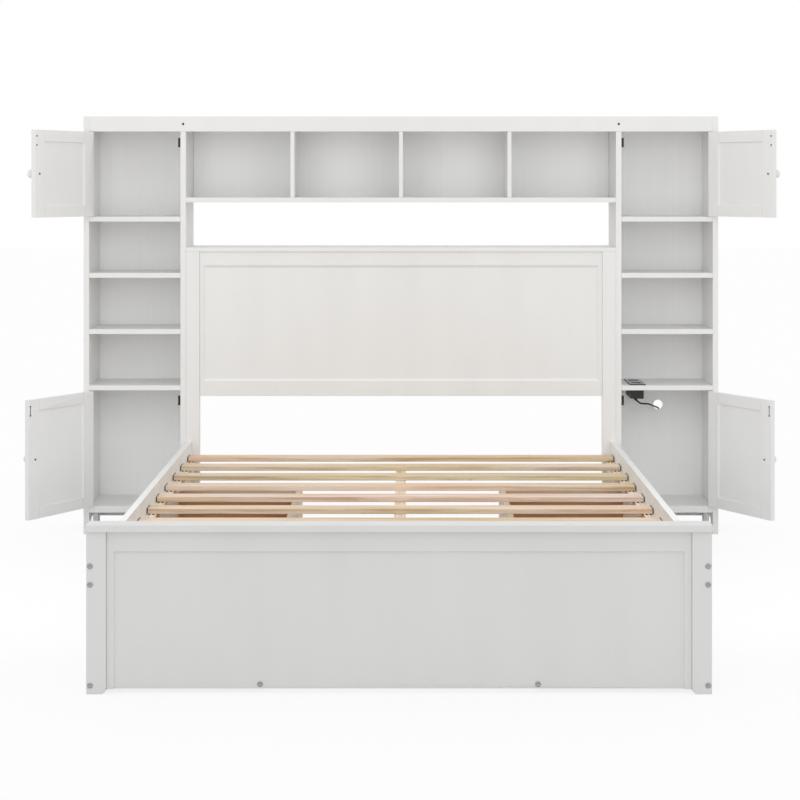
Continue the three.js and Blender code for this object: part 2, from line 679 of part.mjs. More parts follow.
// Bridge: a floor between the partitions and the dividers of its cubbies
function addBridge(group) {
  addBoard(
    group, 'bridge_floor', [-bedHalf, bedHalf], [0, tower.depth], [bridgeFloorBottom, bridgeFloorTop],
    whitePaint,
  );
  const outline = new THREE.Shape([
    new THREE.Vector2(0, bridgeFloorTop + seat),
    new THREE.Vector2(tower.depth, bridgeFloorTop + seat),
    ...notchedTop.map(([y, z]) => new THREE.Vector2(y, z)),
  ]);
  const pitch = (2 * partitionInner + bridge.divider) / (bridge.dividers + 1);
  ['left', 'middle', 'right'].forEach((word, index) => {
    const middle = (index - 1) * pitch;
    const xs = [middle - bridge.divider / 2, middle + bridge.divider / 2];
    addPiece(group, `bridge_divider_${word}`, boardAcross(outline, xs), whitePaint);
  });
}

// Head posts, the panel between them and the ledge that lies on top
function addHeadPanel(group) {
  const postTop = ledgeBottom - seat;
  for (const { word, sign } of sides) {
    addBoard(
      group, `${word}_head_post`, [sign * (bedHalf - headPost.width), sign * bedHalf], [0, headPost.depth],
      [0, postTop], whitePaint,
    );
  }
  addBoard(
    group, 'headboard_ledge', [-bedHalf, bedHalf], [0, tower.depth], [ledgeBottom, ledgeTop], whitePaint,
  );
  const half = bedHalf - headPost.width - seat;
  const low = postTop - headPanel.height;
  const panel = blockSolid(
    [-half, half], [headPanel.setBack, headPanel.setBack + headPanel.thickness], [low, postTop],
  );
  const field = pocketSolid(
    [-half + headPanel.endStile, half - headPanel.endStile],
    [low + headPanel.bottomRail, postTop - headPanel.topRail],
    headPanel.setBack, -1, headPanel.relief, headPanel.reliefSlope,
  );
  addPiece(group, 'headboard_panel', geometryOf(panel.subtract(field)), whitePaint);
}

// Power socket: a plate with two outlets that lies on the shelf, a body that hangs through it and a
// tapered strain relief under the body
function outletCuts(middleY, plateTop) {
  const half = { x: socket.outletWidth / 2, y: socket.outletDepth / 2 };
  const floor = plateTop - socket.outletRecess;
  const slotZ = [floor - socket.slotDepth, floor + overrun];
  const recess = blockSolid(
    [socketMiddle - half.x, socketMiddle + half.x], [middleY - half.y, middleY + half.y],
    [floor, plateTop + overrun],
  );
  const slots = [-1, 1].map((sign) => {
    const x = socketMiddle + (sign * socket.slotSpacing) / 2;
    const ys = [middleY - socket.slotLength / 2, middleY + socket.slotLength / 2];
    return blockSolid([x - socket.slotWidth / 2, x + socket.slotWidth / 2], ys, slotZ);
  });
  const earth = barAlongZ(socket.earthRadius, socketMiddle, middleY - socket.earthOffset, slotZ, boltSides);
  return [recess, ...slots, earth];
}

function addSocket(group) {
  const plateBottom = lowerShelfTop + seat;
  const plateTop = plateBottom + socket.plateThickness;
  const bodyBottom = lowerShelfTop - socket.bodyBelowShelf;
  const plateHalf = socket.plateWidth / 2;
  const bodyHalf = socket.bodyWidth / 2;
  const plate = blockSolid(
    [socketMiddle - plateHalf, socketMiddle + plateHalf], socketPlateY, [plateBottom, plateTop],
  );
  const body = blockSolid(
    [socketMiddle - bodyHalf, socketMiddle + bodyHalf], socketBodyY, [bodyBottom, plateBottom + overlap],
  );
  const plateMiddle = (socketPlateY[0] + socketPlateY[1]) / 2;
  const cuts = [-1, 1].flatMap(
    (sign) => outletCuts(plateMiddle + (sign * socket.outletStep) / 2, plateTop),
  );
  const tilt = THREE.MathUtils.degToRad(socket.glandTiltDegrees);
  const gland = new THREE.CylinderGeometry(
    socket.glandRadius, socket.glandTip, socket.glandLength + socket.glandRadius, boltSides,
  ).rotateX(Math.PI / 2).translate(0, 0, (socket.glandRadius - socket.glandLength) / 2).rotateY(-tilt);
  gland.translate(
    socketMiddle - socket.glandFromMiddle, socketBodyY[1] - socket.glandFromBack, bodyBottom,
  );
  const whole = cutBy(joined([plate, body, solidOf(gland)]), cuts);
  addPiece(group, 'power_socket', geometryOf(whole), blackPlastic);
}

// Cord: its free stretch is a plain tube on the route
function addCord(group) {
  const section = new THREE.Shape();
  for (let index = 0; index < cord.sides; index += 1) {
    const angle = (2 * Math.PI * index) / cord.sides;
    const point = [cord.radius * Math.cos(angle), cord.radius * Math.sin(angle)];
    if (index === 0) section.moveTo(...point);
    else section.lineTo(...point);
  }
  section.closePath();
  const path = new THREE.CatmullRomCurve3(cordRoute.map((point) => new THREE.Vector3(...point)));
  const tube = new THREE.ExtrudeGeometry(section, {
    steps: cord.steps, bevelEnabled: false, extrudePath: path,
  });
  addPiece(group, 'power_cord', tube, blackCord);
}

// A closed tube through a row of points, with the same flat-based section all along
function tubeThrough(points, radius, sideCount) {
  const up = new THREE.Vector3(0, 0, 1);
  const positions = [];
  const indices = [];
  const last = points.length - 1;
  points.forEach((point, index) => {
    const ahead = points[Math.min(index + 1, last)];
    const behind = points[Math.max(index - 1, 0)];
    const tangent = ahead.clone().sub(behind).normalize();
    const across = tangent.clone().cross(up).normalize();
    const rise = across.clone().cross(tangent);
    for (let side = 0; side < sideCount; side += 1) {
      const angle = (2 * Math.PI * side) / sideCount;
      const corner = point.clone().addScaledVector(across, radius * Math.cos(angle));
      corner.addScaledVector(rise, radius * Math.sin(angle));
      positions.push(corner.x, corner.y, corner.z);
    }
  });
  for (let ring = 0; ring < last; ring += 1) {
    for (let side = 0; side < sideCount; side += 1) {
      const next = (side + 1) % sideCount;
      const [a, b] = [ring * sideCount + side, ring * sideCount + next];
      indices.push(a, b + sideCount, b, a, a + sideCount, b + sideCount);
    }
  }
  const end = last * sideCount;
  for (let side = 1; side < sideCount - 1; side += 1) {
    indices.push(0, side, side + 1);
    indices.push(end, end + side + 1, end + side);
  }
  const geometry = new THREE.BufferGeometry();
  geometry.setAttribute('position', new THREE.Float32BufferAttribute(positions, 3));
  geometry.setIndex(indices);
  geometry.computeVertexNormals();
  return geometry;
}

// Coil: the spare cord spirals in on the floor, climbs a layer while it turns back, and spirals out
const coilPitch = 2 * cord.radius + coil.turnGap;
const coilReach = (coil.turns / 2) * coilPitch;
const coilInnerRadius = coilMiddleRadius - coilReach / 2;
const coilOuterRadius = coilInnerRadius + coilReach;
const cordEnd = new THREE.Vector3(...cordRoute.at(-1));
const coilStart = new THREE.Vector3(
  cordEnd.x, cordEnd.y + seat + 2 * cord.radius, cord.radius + coil.floorGap,
);
const coilCentre = new THREE.Vector3(coilStart.x - coilOuterRadius, coilStart.y, coilStart.z);

function coilPoint(turn) {
  const fromMiddle = turn - coil.turns / 2;
  const radius = coilInnerRadius + coilPitch * Math.abs(fromMiddle);
  const climb = THREE.MathUtils.clamp((fromMiddle + coil.climbTurns / 2) / coil.climbTurns, 0, 1);
  const angle = 2 * Math.PI * turn;
  return new THREE.Vector3(
    coilCentre.x + radius * Math.cos(angle),
    coilCentre.y + radius * Math.sin(angle),
    coilCentre.z + coilPitch * climb,
  );
}

function leastGap(points, stepsApart, diameter) {
  let least = Infinity;
  for (let i = 0; i < points.length; i += 1) {
    for (let j = i + stepsApart; j < points.length; j += 1) {
      least = Math.min(least, points[i].distanceTo(points[j]) - diameter);
    }
  }
  return least;
}

const coilEnd = coilPoint(coil.turns);

function addCoil(group) {
  const steps = Math.round(coil.turns * coil.stepsPerTurn);
  const turned = Array.from({ length: steps + 1 }, (_, index) => coilPoint((index / steps) * coil.turns));
  const lead = new THREE.Vector3(0, 2 * cord.radius, 0);
  const points = [coilStart.clone().sub(lead), ...turned, coilEnd.clone().sub(lead)];
  addPiece(group, 'cord_coil', tubeThrough(points, cord.radius, coil.sides), blackCord);
  const gap = leastGap(points, coil.stepsPerTurn / 2, 2 * cord.radius);
  console.log(`cord coil: least gap to itself ${gap.toFixed(2)} mm`);
}

// Mains plug at the coil's outer end: a tapered strain relief, a body and three pins, along -Y
function addPlug(group) {
  const { x, y, z } = coilEnd;
  const start = y - 2 * cord.radius - seat;
  const bodyStart = start - plug.reliefLength;
  const bodyEnd = bodyStart - plug.length;
  const relief = new THREE.CylinderGeometry(
    plug.reliefTip, plug.neck, plug.reliefLength + overlap, boltSides,
  ).translate(x, start - (plug.reliefLength + overlap) / 2, z);
  const half = { x: plug.width / 2, z: z - coil.floorGap };
  const bodyOutline = new THREE.Shape();
  const r = plug.cornerRadius;
  bodyOutline.absarc(half.x - r, half.z - r, r, 0, Math.PI / 2, false);
  bodyOutline.absarc(r - half.x, half.z - r, r, Math.PI / 2, Math.PI, false);
  bodyOutline.absarc(r - half.x, r - half.z, r, Math.PI, 1.5 * Math.PI, false);
  bodyOutline.absarc(half.x - r, r - half.z, r, 1.5 * Math.PI, 2 * Math.PI, false);
  const body = new THREE.ExtrudeGeometry(bodyOutline, {
    depth: plug.length, bevelEnabled: false, curveSegments: archSteps,
  }).rotateX(Math.PI / 2).translate(x, bodyStart, z);
  const blades = [-1, 1].map((sign) => {
    const middle = x + (sign * plug.bladeSpacing) / 2;
    return blockSolid(
      [middle - plug.bladeThickness / 2, middle + plug.bladeThickness / 2],
      [bodyEnd + overlap, bodyEnd - plug.bladeLength], [z - plug.bladeWidth / 2, z + plug.bladeWidth / 2],
    );
  });
  const earth = barAlongY(
    plug.earthRadius, x, [bodyEnd + overlap, bodyEnd - plug.earthLength], z, boltSides,
  );
  const whole = joined([solidOf(relief), solidOf(body), ...blades, earth]);
  addPiece(group, 'mains_plug', geometryOf(whole), blackPlastic);
}

// The bed and what lies behind it
addFootboard(bedModel);
addSlatBed(bedModel);
sides.forEach((side) => addDrawerFrame(bedModel, side));
addDrawers(bedModel);

// The headboard, placed at the head end of the rails
const headboard = new THREE.Group();
headboard.position.y = headFront;
bedModel.add(headboard);
for (const side of sides) {
  addOuterSide(headboard, side);
  addInnerSide(headboard, side);
  addShelves(headboard, side);
  addDoors(headboard, side);
}
addBacks(headboard);
addTop(headboard);
addBridge(headboard);
addHeadPanel(headboard);
addSocket(headboard);

// The middle of everything but the cord comes over the origin
bedModel.updateMatrixWorld(true);
const middleOfAll = new THREE.Box3().setFromObject(bedModel, true).getCenter(new THREE.Vector3());
addCord(bedModel);
addCoil(bedModel);
addPlug(bedModel);
bedModel.position.set(-middleOfAll.x, -middleOfAll.y, 0);

export default bedModel;
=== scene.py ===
"""The looks of the bed with storage headboard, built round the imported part.

Lengths are in metres, in the part's own frame: +Z up, +X to the right seen from the foot end, +Y
from the footboard to the headboard.
"""
import json
import math

import bmesh
import bpy
from mathutils import Matrix, Vector


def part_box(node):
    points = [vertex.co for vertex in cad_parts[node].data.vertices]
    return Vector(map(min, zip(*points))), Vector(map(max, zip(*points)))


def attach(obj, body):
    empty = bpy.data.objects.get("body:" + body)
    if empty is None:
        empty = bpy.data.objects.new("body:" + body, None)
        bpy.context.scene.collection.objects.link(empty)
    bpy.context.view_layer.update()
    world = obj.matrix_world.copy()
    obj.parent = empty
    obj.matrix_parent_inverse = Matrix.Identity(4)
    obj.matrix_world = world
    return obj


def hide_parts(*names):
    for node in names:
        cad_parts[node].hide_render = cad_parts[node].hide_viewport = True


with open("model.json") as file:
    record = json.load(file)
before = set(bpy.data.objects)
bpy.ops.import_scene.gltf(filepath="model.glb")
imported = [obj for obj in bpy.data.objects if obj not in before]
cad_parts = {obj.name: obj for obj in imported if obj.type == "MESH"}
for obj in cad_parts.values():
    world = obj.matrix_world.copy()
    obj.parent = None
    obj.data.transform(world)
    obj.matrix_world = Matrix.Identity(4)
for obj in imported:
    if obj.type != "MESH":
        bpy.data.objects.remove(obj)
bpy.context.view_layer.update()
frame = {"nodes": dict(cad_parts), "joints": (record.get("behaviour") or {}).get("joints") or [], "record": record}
scene = bpy.context.scene

MM = 0.001
UP = Vector((0, 0, 1))
FULL_TURN = 2 * math.pi
SIDES = (("left", -1), ("right", 1))

# Places that the other sizes start from, read from the frame
cap_low, cap_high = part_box("footboard_cap")
rail_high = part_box("right_side_rail")[1]
MIDDLE_X = (cap_low.x + cap_high.x) / 2
CAP_REACH = 10 * MM
POST_FACE_Y = cap_low.y + CAP_REACH
TOWER_FRONT_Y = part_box("headboard_ledge")[0].y
BED_HALF = rail_high.x - MIDDLE_X
SLATS = sorted(node for node in frame["nodes"] if node.startswith("slat_"))
SLAT_STEP = (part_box("slat_10")[0].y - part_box("slat_1")[0].y) / (len(SLATS) - 1)


# The camera stands level in front of the foot end. Its lens is shifted down, so that upright edges
# stay upright while the whole bed is in view.
CAMERA_RIGHT = 15 * MM
CAMERA_HEIGHT = 1298.7 * MM
CAMERA_DISTANCE = 4546 * MM
SENSOR_WIDTH_MM = 36
FOCAL_SHARE = 1790 / 800
HORIZON_PIXEL = 183
CENTRE_PIXEL_X = 405
IMAGE_PIXELS = 800

camera_data = bpy.data.cameras.new("camera")
camera_data.sensor_width = SENSOR_WIDTH_MM
camera_data.lens = SENSOR_WIDTH_MM * FOCAL_SHARE
camera_data.shift_x = 0.5 - CENTRE_PIXEL_X / IMAGE_PIXELS
camera_data.shift_y = HORIZON_PIXEL / IMAGE_PIXELS - 0.5
camera = bpy.data.objects.new("camera", camera_data)
camera.location = (MIDDLE_X + CAMERA_RIGHT, POST_FACE_Y - CAMERA_DISTANCE, CAMERA_HEIGHT)
camera.rotation_euler = (math.radians(90), 0, 0)
scene.collection.objects.link(camera)
scene.camera = camera


# Materials
FINISH_IOR = 1.5
WHITE = (1, 1, 1, 1)
# A Mix node's inputs share their names between kinds, so these are taken by number
VECTOR_A, VECTOR_B, VECTOR_OUT = 4, 5, 1
COLOUR_A, COLOUR_B, COLOUR_OUT = 6, 7, 2
MIX_COLOURS = {"data_type": "RGBA"}
MULTIPLY_COLOURS = {"data_type": "RGBA", "blend_type": "MULTIPLY"}


def linear(hex_colour):
    """A colour written as sRGB hex, as the linear values that shaders take."""
    values = [int(hex_colour[i : i + 2], 16) / 255 for i in (1, 3, 5)]
    return [v / 12.92 if v <= 0.04045 else ((v + 0.055) / 1.055) ** 2.4 for v in values] + [1]


def add(tree, kind, inputs=None, **settings):
    """Adds one node with its settings, and its inputs as values or as links from other nodes."""
    made = tree.nodes.new(kind)
    for key, value in settings.items():
        setattr(made, key, value)
    for key, value in (inputs or {}).items():
        if isinstance(value, bpy.types.NodeSocket):
            tree.links.new(value, made.inputs[key])
        else:
            made.inputs[key].default_value = value
    return made


def new_material(name, colour, roughness, metallic=0.0):
    """A material with its shader, ready for the nodes that give it its pattern."""
    material = bpy.data.materials.new(name)
    material.use_nodes = True
    shader = material.node_tree.nodes["Principled BSDF"]
    shader.inputs["Base Color"].default_value = linear(colour)
    shader.inputs["Roughness"].default_value = roughness
    shader.inputs["Metallic"].default_value = metallic
    shader.inputs["IOR"].default_value = FINISH_IOR
    return material, material.node_tree, shader


def ramp_stops(ramp, stops):
    """Sets a colour ramp's stops from (place, hex colour) pairs."""
    elements = ramp.color_ramp.elements
    while len(elements) < len(stops):
        elements.new(0.5)
    for element, (place, colour) in zip(elements, stops):
        element.position = place
        element.color = linear(colour)


# Noise cells per metre along X, Y and Z. A sprayed coat drifts over some 110 mm across a board and
# 500 mm along it. A roller leaves streaks 11 mm wide.
UPRIGHT_DRIFT = (9, 9, 2)
LENGTHWISE_DRIFT = (9, 2, 9)
ROLLER_STREAKS = (90, 90, 1.5)
PEEL = 2.2 * MM
PEEL_DEPTH = 0.2 * MM
PEEL_STRENGTH = 0.05


def paint_nodes(tree, cells, pale, deep):
    """White paint: a tone that drifts a little along the board, and orange peel as bump."""
    place = add(tree, "ShaderNodeTexCoord").outputs["Object"]
    along = add(tree, "ShaderNodeMapping", {"Vector": place, "Scale": cells}).outputs["Vector"]
    drift = add(tree, "ShaderNodeTexNoise", {"Vector": along, "Scale": 1, "Detail": 3})
    tone = add(tree, "ShaderNodeValToRGB", {"Fac": drift.outputs["Fac"]})
    ramp_stops(tone, ((0.3, deep), (0.7, pale)))
    peel = add(tree, "ShaderNodeTexNoise", {"Vector": place, "Scale": 1 / PEEL, "Detail": 2})
    skin = {"Height": peel.outputs["Fac"], "Strength": PEEL_STRENGTH, "Distance": PEEL_DEPTH}
    bump = add(tree, "ShaderNodeBump", skin)
    return tone.outputs["Color"], bump.outputs["Normal"]


def make_painted(name, colour, roughness, cells, pale, deep):
    """Opaque white paint over the whole of a board."""
    material, tree, shader = new_material(name, colour, roughness)
    tone, normal = paint_nodes(tree, cells, pale, deep)
    tree.links.new(tone, shader.inputs["Base Color"])
    tree.links.new(normal, shader.inputs["Normal"])
    return material


# Wood: how wide a year ring is and how far it runs, and the colours from its dark to its pale part
RING = 5 * MM
RING_RUN = 420 * MM
RING_DEPTH = 0.4 * MM
RING_STRENGTH = 0.15
PINE_STOPS = ((0.36, "#cfbca5"), (0.5, "#ebe0d3"), (0.62, "#f6f0e8"))
FRAME_STOPS = ((0.3, "#d8c8b6"), (0.5, "#e8dccd"), (0.7, "#f1e8dd"))
# The drawer box's stops are pine darkened by some 12 %, as painted shade for the dim inside of the box
BOX_PINE_AND_SHADE_STOPS = ((0.3, "#ad875f"), (0.5, "#c29e78"), (0.7, "#d3b491"))
PLYWOOD_STOPS = ((0.3, "#9d6b44"), (0.5, "#b5835a"), (0.7, "#c99b70"))
# A slow drift of tone, in cells per metre along X, Y and Z, and its tints
DRIFT_CELLS = (0.9, 5.5, 5.5)
DRIFT_STOPS = ((0.35, "#fff0e6"), (0.5, "#ffffff"), (0.65, "#f6f1de"))
# The slats' own tones by chance, and the knots, one in about 150 mm
SLAT_STOPS = ((0.1, "#f7e9da"), (0.4, "#ffffff"), (0.65, "#fbeee8"), (0.9, "#f5f1e2"))
KNOTS_PER_METRE = 6.5
KNOT_STOPS = ((0.02, "#a87d58"), (0.05, "#ffffff"))
# A face counts as looking along X from this part of its normal on
LOOKS_ALONG_X = 0.7
LACQUERED_DEPTH = 18.5 * MM


def drawn_out(tree, place, grain_axis):
    """The place drawn out along a board's grain, so that noise on it gives long rings."""
    along_x = (1 / RING_RUN, 1 / RING, 1 / (3 * RING))
    along_y = (1 / RING, 1 / RING_RUN, 1 / (3 * RING))
    if grain_axis != "each board":
        scale = along_x if grain_axis == "X" else along_y
        return add(tree, "ShaderNodeMapping", {"Vector": place, "Scale": scale}).outputs["Vector"]
    facing = add(tree, "ShaderNodeTexCoord").outputs["Normal"]
    parts = add(tree, "ShaderNodeSeparateXYZ", {"Vector": facing})
    away = add(tree, "ShaderNodeMath", {0: parts.outputs["X"]}, operation="ABSOLUTE").outputs[0]
    is_end = add(tree, "ShaderNodeMath", {0: away, 1: LOOKS_ALONG_X}, operation="GREATER_THAN")
    inputs = {0: is_end.outputs[0]}
    for socket, scale in ((VECTOR_A, along_x), (VECTOR_B, along_y)):
        mapped = add(tree, "ShaderNodeMapping", {"Vector": place, "Scale": scale})
        inputs[socket] = mapped.outputs["Vector"]
    return add(tree, "ShaderNodeMix", inputs, data_type="VECTOR").outputs[VECTOR_OUT]


def pine_nodes(tree, stops, grain_axis="X"):
    """Planed pine: rings as noise drawn out along the grain, and a slow drift of tone."""
    place = add(tree, "ShaderNodeTexCoord").outputs["Object"]
    drawn = drawn_out(tree, place, grain_axis)
    rings = {"Vector": drawn, "Scale": 1, "Detail": 5, "Roughness": 0.6, "Distortion": 0.8}
    grain = add(tree, "ShaderNodeTexNoise", rings).outputs["Fac"]
    tone = add(tree, "ShaderNodeValToRGB", {"Fac": grain})
    ramp_stops(tone, stops)
    slow = add(tree, "ShaderNodeMapping", {"Vector": place, "Scale": DRIFT_CELLS}).outputs["Vector"]
    drift = add(tree, "ShaderNodeTexNoise", {"Vector": slow, "Scale": 1, "Detail": 1})
    tint = add(tree, "ShaderNodeValToRGB", {"Fac": drift.outputs["Fac"]})
    ramp_stops(tint, DRIFT_STOPS)
    tones = {0: 1, COLOUR_A: tone.outputs["Color"], COLOUR_B: tint.outputs["Color"]}
    wood = add(tree, "ShaderNodeMix", tones, **MULTIPLY_COLOURS)
    return place, grain, wood.outputs[COLOUR_OUT]


def slat_tones(tree, place):
    """A tone for each slat, tan, pinkish or greenish, by a chance value along the bed."""
    parts = add(tree, "ShaderNodeSeparateXYZ", {"Vector": place})
    count = add(tree, "ShaderNodeMath", {0: parts.outputs["Y"], 1: SLAT_STEP}, operation="DIVIDE")
    slat = add(tree, "ShaderNodeMath", {0: count.outputs[0]}, operation="ROUND")
    chance = add(tree, "ShaderNodeTexWhiteNoise", {"W": slat.outputs[0]}, noise_dimensions="1D")
    tone = add(tree, "ShaderNodeValToRGB", {"Fac": chance.outputs["Value"]})
    ramp_stops(tone, SLAT_STOPS)
    return tone.outputs["Color"]


def make_pine(name, grain_axis, own_tones):
    """Bare planed pine: matt, soft darker rings and a few small knots. Slats differ in tone."""
    material, tree, shader = new_material(name, "#e6d5c1", 0.62)
    place, grain, wood = pine_nodes(tree, PINE_STOPS, grain_axis)
    knots = add(tree, "ShaderNodeTexVoronoi", {"Vector": place, "Scale": KNOTS_PER_METRE})
    knot_tone = add(tree, "ShaderNodeValToRGB", {"Fac": knots.outputs["Distance"]})
    ramp_stops(knot_tone, KNOT_STOPS)
    tones = [slat_tones(tree, place)] if own_tones else []
    for tone in tones + [knot_tone.outputs["Color"]]:
        mix = add(tree, "ShaderNodeMix", {0: 1, COLOUR_A: wood, COLOUR_B: tone}, **MULTIPLY_COLOURS)
        wood = mix.outputs[COLOUR_OUT]
    tree.links.new(wood, shader.inputs["Base Color"])
    relief = {"Height": grain, "Strength": RING_STRENGTH, "Distance": RING_DEPTH}
    bump = add(tree, "ShaderNodeBump", relief)
    tree.links.new(bump.outputs["Normal"], shader.inputs["Normal"])
    return material


def make_front_on_pine(name, stops):
    """White lacquer on the boards at the bed's long sides, and bare pine on all that is behind."""
    material, tree, shader = new_material(name, "#e7e7e6", 0.5)
    place, _, pine = pine_nodes(tree, stops, "each board")
    white, normal = paint_nodes(tree, LENGTHWISE_DRIFT, "#eeeeed", "#eaeae9")
    parts = add(tree, "ShaderNodeSeparateXYZ", {"Vector": place})
    x = add(tree, "ShaderNodeMath", {0: parts.outputs["X"], 1: MIDDLE_X}, operation="SUBTRACT")
    away = add(tree, "ShaderNodeMath", {0: x.outputs[0]}, operation="ABSOLUTE").outputs[0]
    start = BED_HALF - LACQUERED_DEPTH
    is_front = add(tree, "ShaderNodeMath", {0: away, 1: start}, operation="GREATER_THAN")
    inputs = {0: is_front.outputs[0], COLOUR_A: pine, COLOUR_B: white}
    mix = add(tree, "ShaderNodeMix", inputs, **MIX_COLOURS)
    tree.links.new(mix.outputs[COLOUR_OUT], shader.inputs["Base Color"])
    tree.links.new(normal, shader.inputs["Normal"])
    return material


def make_plywood():
    """Drawer bottoms: thin brown plywood with a flat open grain."""
    material, tree, shader = new_material("brown_plywood", "#b98a60", 0.6)
    tree.links.new(pine_nodes(tree, PLYWOOD_STOPS)[2], shader.inputs["Base Color"])
    return material


def make_uneven_gloss(name, colour, least, most, patch, detail, metallic):
    """One colour, with a gloss that wanders between two roughnesses over patches of one size."""
    material, tree, shader = new_material(name, colour, (least + most) / 2, metallic)
    place = add(tree, "ShaderNodeTexCoord").outputs["Object"]
    noise = add(tree, "ShaderNodeTexNoise", {"Vector": place, "Scale": 1 / patch, "Detail": detail})
    inputs = {"Value": noise.outputs["Fac"], "To Min": least, "To Max": most}
    spread = add(tree, "ShaderNodeMapRange", inputs)
    tree.links.new(spread.outputs["Result"], shader.inputs["Roughness"])
    return material


def make_metal(name, colour, least, most):
    """Plated metal: fine mottling in its gloss, as on barrel-plated screws and hinges."""
    return make_uneven_gloss(name, colour, least, most, patch=3 * MM, detail=3, metallic=1.0)


def make_cord_jacket():
    """Extruded black PVC: smooth and half matt, with a faint drift of its gloss."""
    return make_uneven_gloss(
        "black_pvc_jacket", "#161616", 0.42, 0.58, patch=6 * MM, detail=2, metallic=0.0
    )


GRIT = 0.8 * MM
GRIT_DEPTH = 0.1 * MM
GRIT_STRENGTH = 0.12


def make_black_plastic():
    """Moulded black ABS: a fine spark-eroded texture, a soft sheen at low angles."""
    material, tree, shader = new_material("moulded_black_abs", "#101011", 0.42)
    place = add(tree, "ShaderNodeTexCoord").outputs["Object"]
    grit = add(tree, "ShaderNodeTexNoise", {"Vector": place, "Scale": 1 / GRIT, "Detail": 2})
    texture = {"Height": grit.outputs["Fac"], "Strength": GRIT_STRENGTH, "Distance": GRIT_DEPTH}
    bump = add(tree, "ShaderNodeBump", texture)
    tree.links.new(bump.outputs["Normal"], shader.inputs["Normal"])
    return material


# Sprayed satin lacquer on solid boards gives soft broad highlights and almost no grain. The thin
# backs are hardboard with rolled paint, matter, with faint upright streaks, and set paler than the
# lacquer as painted light in the towers. The seam is a thin matt grey line of painted shade, for the
# shadow in the groove where a door's rails meet its stiles.
lacquer = make_painted("satin_white_lacquer", "#e7e7e6", 0.46, UPRIGHT_DRIFT, "#eeeeed", "#ebebea")
# Painted light: the backs' paint is set paler than the lacquer to lift the shade inside towers and bridge
hardboard = make_painted(
    "rolled_white_paint_on_hardboard", "#e0e0e0", 0.6, ROLLER_STREAKS, "#fafafa", "#f7f7f7"
)
slat_pine = make_pine("planed_pine_slats", "X", own_tones=True)
long_pine = make_pine("planed_pine_ledgers", "Y", own_tones=False)
# The drawer box's pine carries painted shade in its darker stops
drawer_wood = make_front_on_pine("lacquered_front_on_pine_box_and_painted_shade", BOX_PINE_AND_SHADE_STOPS)
frame_wood = make_front_on_pine("lacquered_face_on_pine_frame", FRAME_STOPS)
plywood = make_plywood()
steel = make_metal("zinc_plated_steel", "#b9babc", 0.3, 0.5)
dark_steel = make_metal("blackened_steel", "#3c3c3e", 0.35, 0.55)
grey_sheet = make_metal("satin_grey_aluminium", "#b9babd", 0.3, 0.42)
# Painted shade: a matt grey for the shadow in the grooves at the doors' seams
seam_shade_grey = new_material("painted_seam_shade", "#b4b4b4", 0.6)[0]
black_plastic = make_black_plastic()
cord_jacket = make_cord_jacket()


# Pieces
WELD = 0.01 * MM
SUNK = 0.1 * MM
SHARP_DEGREES = 30
BAR_SIDES = 32
METAL_EDGE = 0.2 * MM


def add_piece(name, bm, material, body, smooth=False):
    """Turns a bmesh into a piece at the origin that rides on a body."""
    mesh = bpy.data.meshes.new(name)
    # Faces are turned outward by their normals, which a transform leaves as they were
    bm.normal_update()
    bmesh.ops.recalc_face_normals(bm, faces=bm.faces)
    bm.to_mesh(mesh)
    bm.free()
    mesh.materials.append(material)
    if smooth:
        mesh.shade_smooth()
    piece = bpy.data.objects.new(name, mesh)
    scene.collection.objects.link(piece)
    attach(piece, body)
    return piece


def add_block(bm, low, high):
    """A box between two corners."""
    low, high = Vector(low), Vector(high)
    place = Matrix.Translation((low + high) / 2) @ Matrix.Diagonal((*(high - low), 1))
    bmesh.ops.create_cube(bm, size=1, matrix=place)


def add_bar(bm, radius, start, end, sides=BAR_SIDES, end_radius=None):
    """A round bar or taper from one point to another."""
    start, end = Vector(start), Vector(end)
    turn = UP.rotation_difference(end - start).to_matrix().to_4x4()
    bmesh.ops.create_cone(
        bm, cap_ends=True, segments=sides, radius1=radius, radius2=end_radius or radius,
        depth=(end - start).length, matrix=Matrix.Translation((start + end) / 2) @ turn,
    )


def bevel_edges(bm, width, segments=2):
    """Rounds every sharp edge."""
    sharp = [
        edge for edge in bm.edges
        if len(edge.link_faces) == 2 and edge.calc_face_angle() > math.radians(SHARP_DEGREES)
    ]
    bmesh.ops.bevel(
        bm, geom=sharp, offset=width, segments=segments, profile=0.5, affect="EDGES", material=-1,
        clamp_overlap=True,
    )


def turned(outline, steps):
    """A turned shape: an outline of (radius, height) points spun round the upright axis."""
    shape = bmesh.new()
    points = [shape.verts.new((radius, 0, height)) for radius, height in outline]
    edges = [shape.edges.new(pair) for pair in zip(points, points[1:])]
    bmesh.ops.spin(
        shape, geom=points + edges, cent=(0, 0, 0), axis=(0, 0, 1), angle=FULL_TURN, steps=steps,
        use_merge=True,
    )
    bmesh.ops.remove_doubles(shape, verts=shape.verts, dist=WELD)
    return shape


def add_turned(bm, shape, base, direction):
    """Adds a turned shape to a bmesh, standing on a face at base."""
    turn = UP.rotation_difference(Vector(direction)).to_matrix().to_4x4()
    shape.transform(Matrix.Translation(base) @ turn)
    bmesh.ops.recalc_face_normals(shape, faces=shape.faces)
    mesh = bpy.data.meshes.new("turned")
    shape.to_mesh(mesh)
    shape.free()
    bm.from_mesh(mesh)
    bpy.data.meshes.remove(mesh)


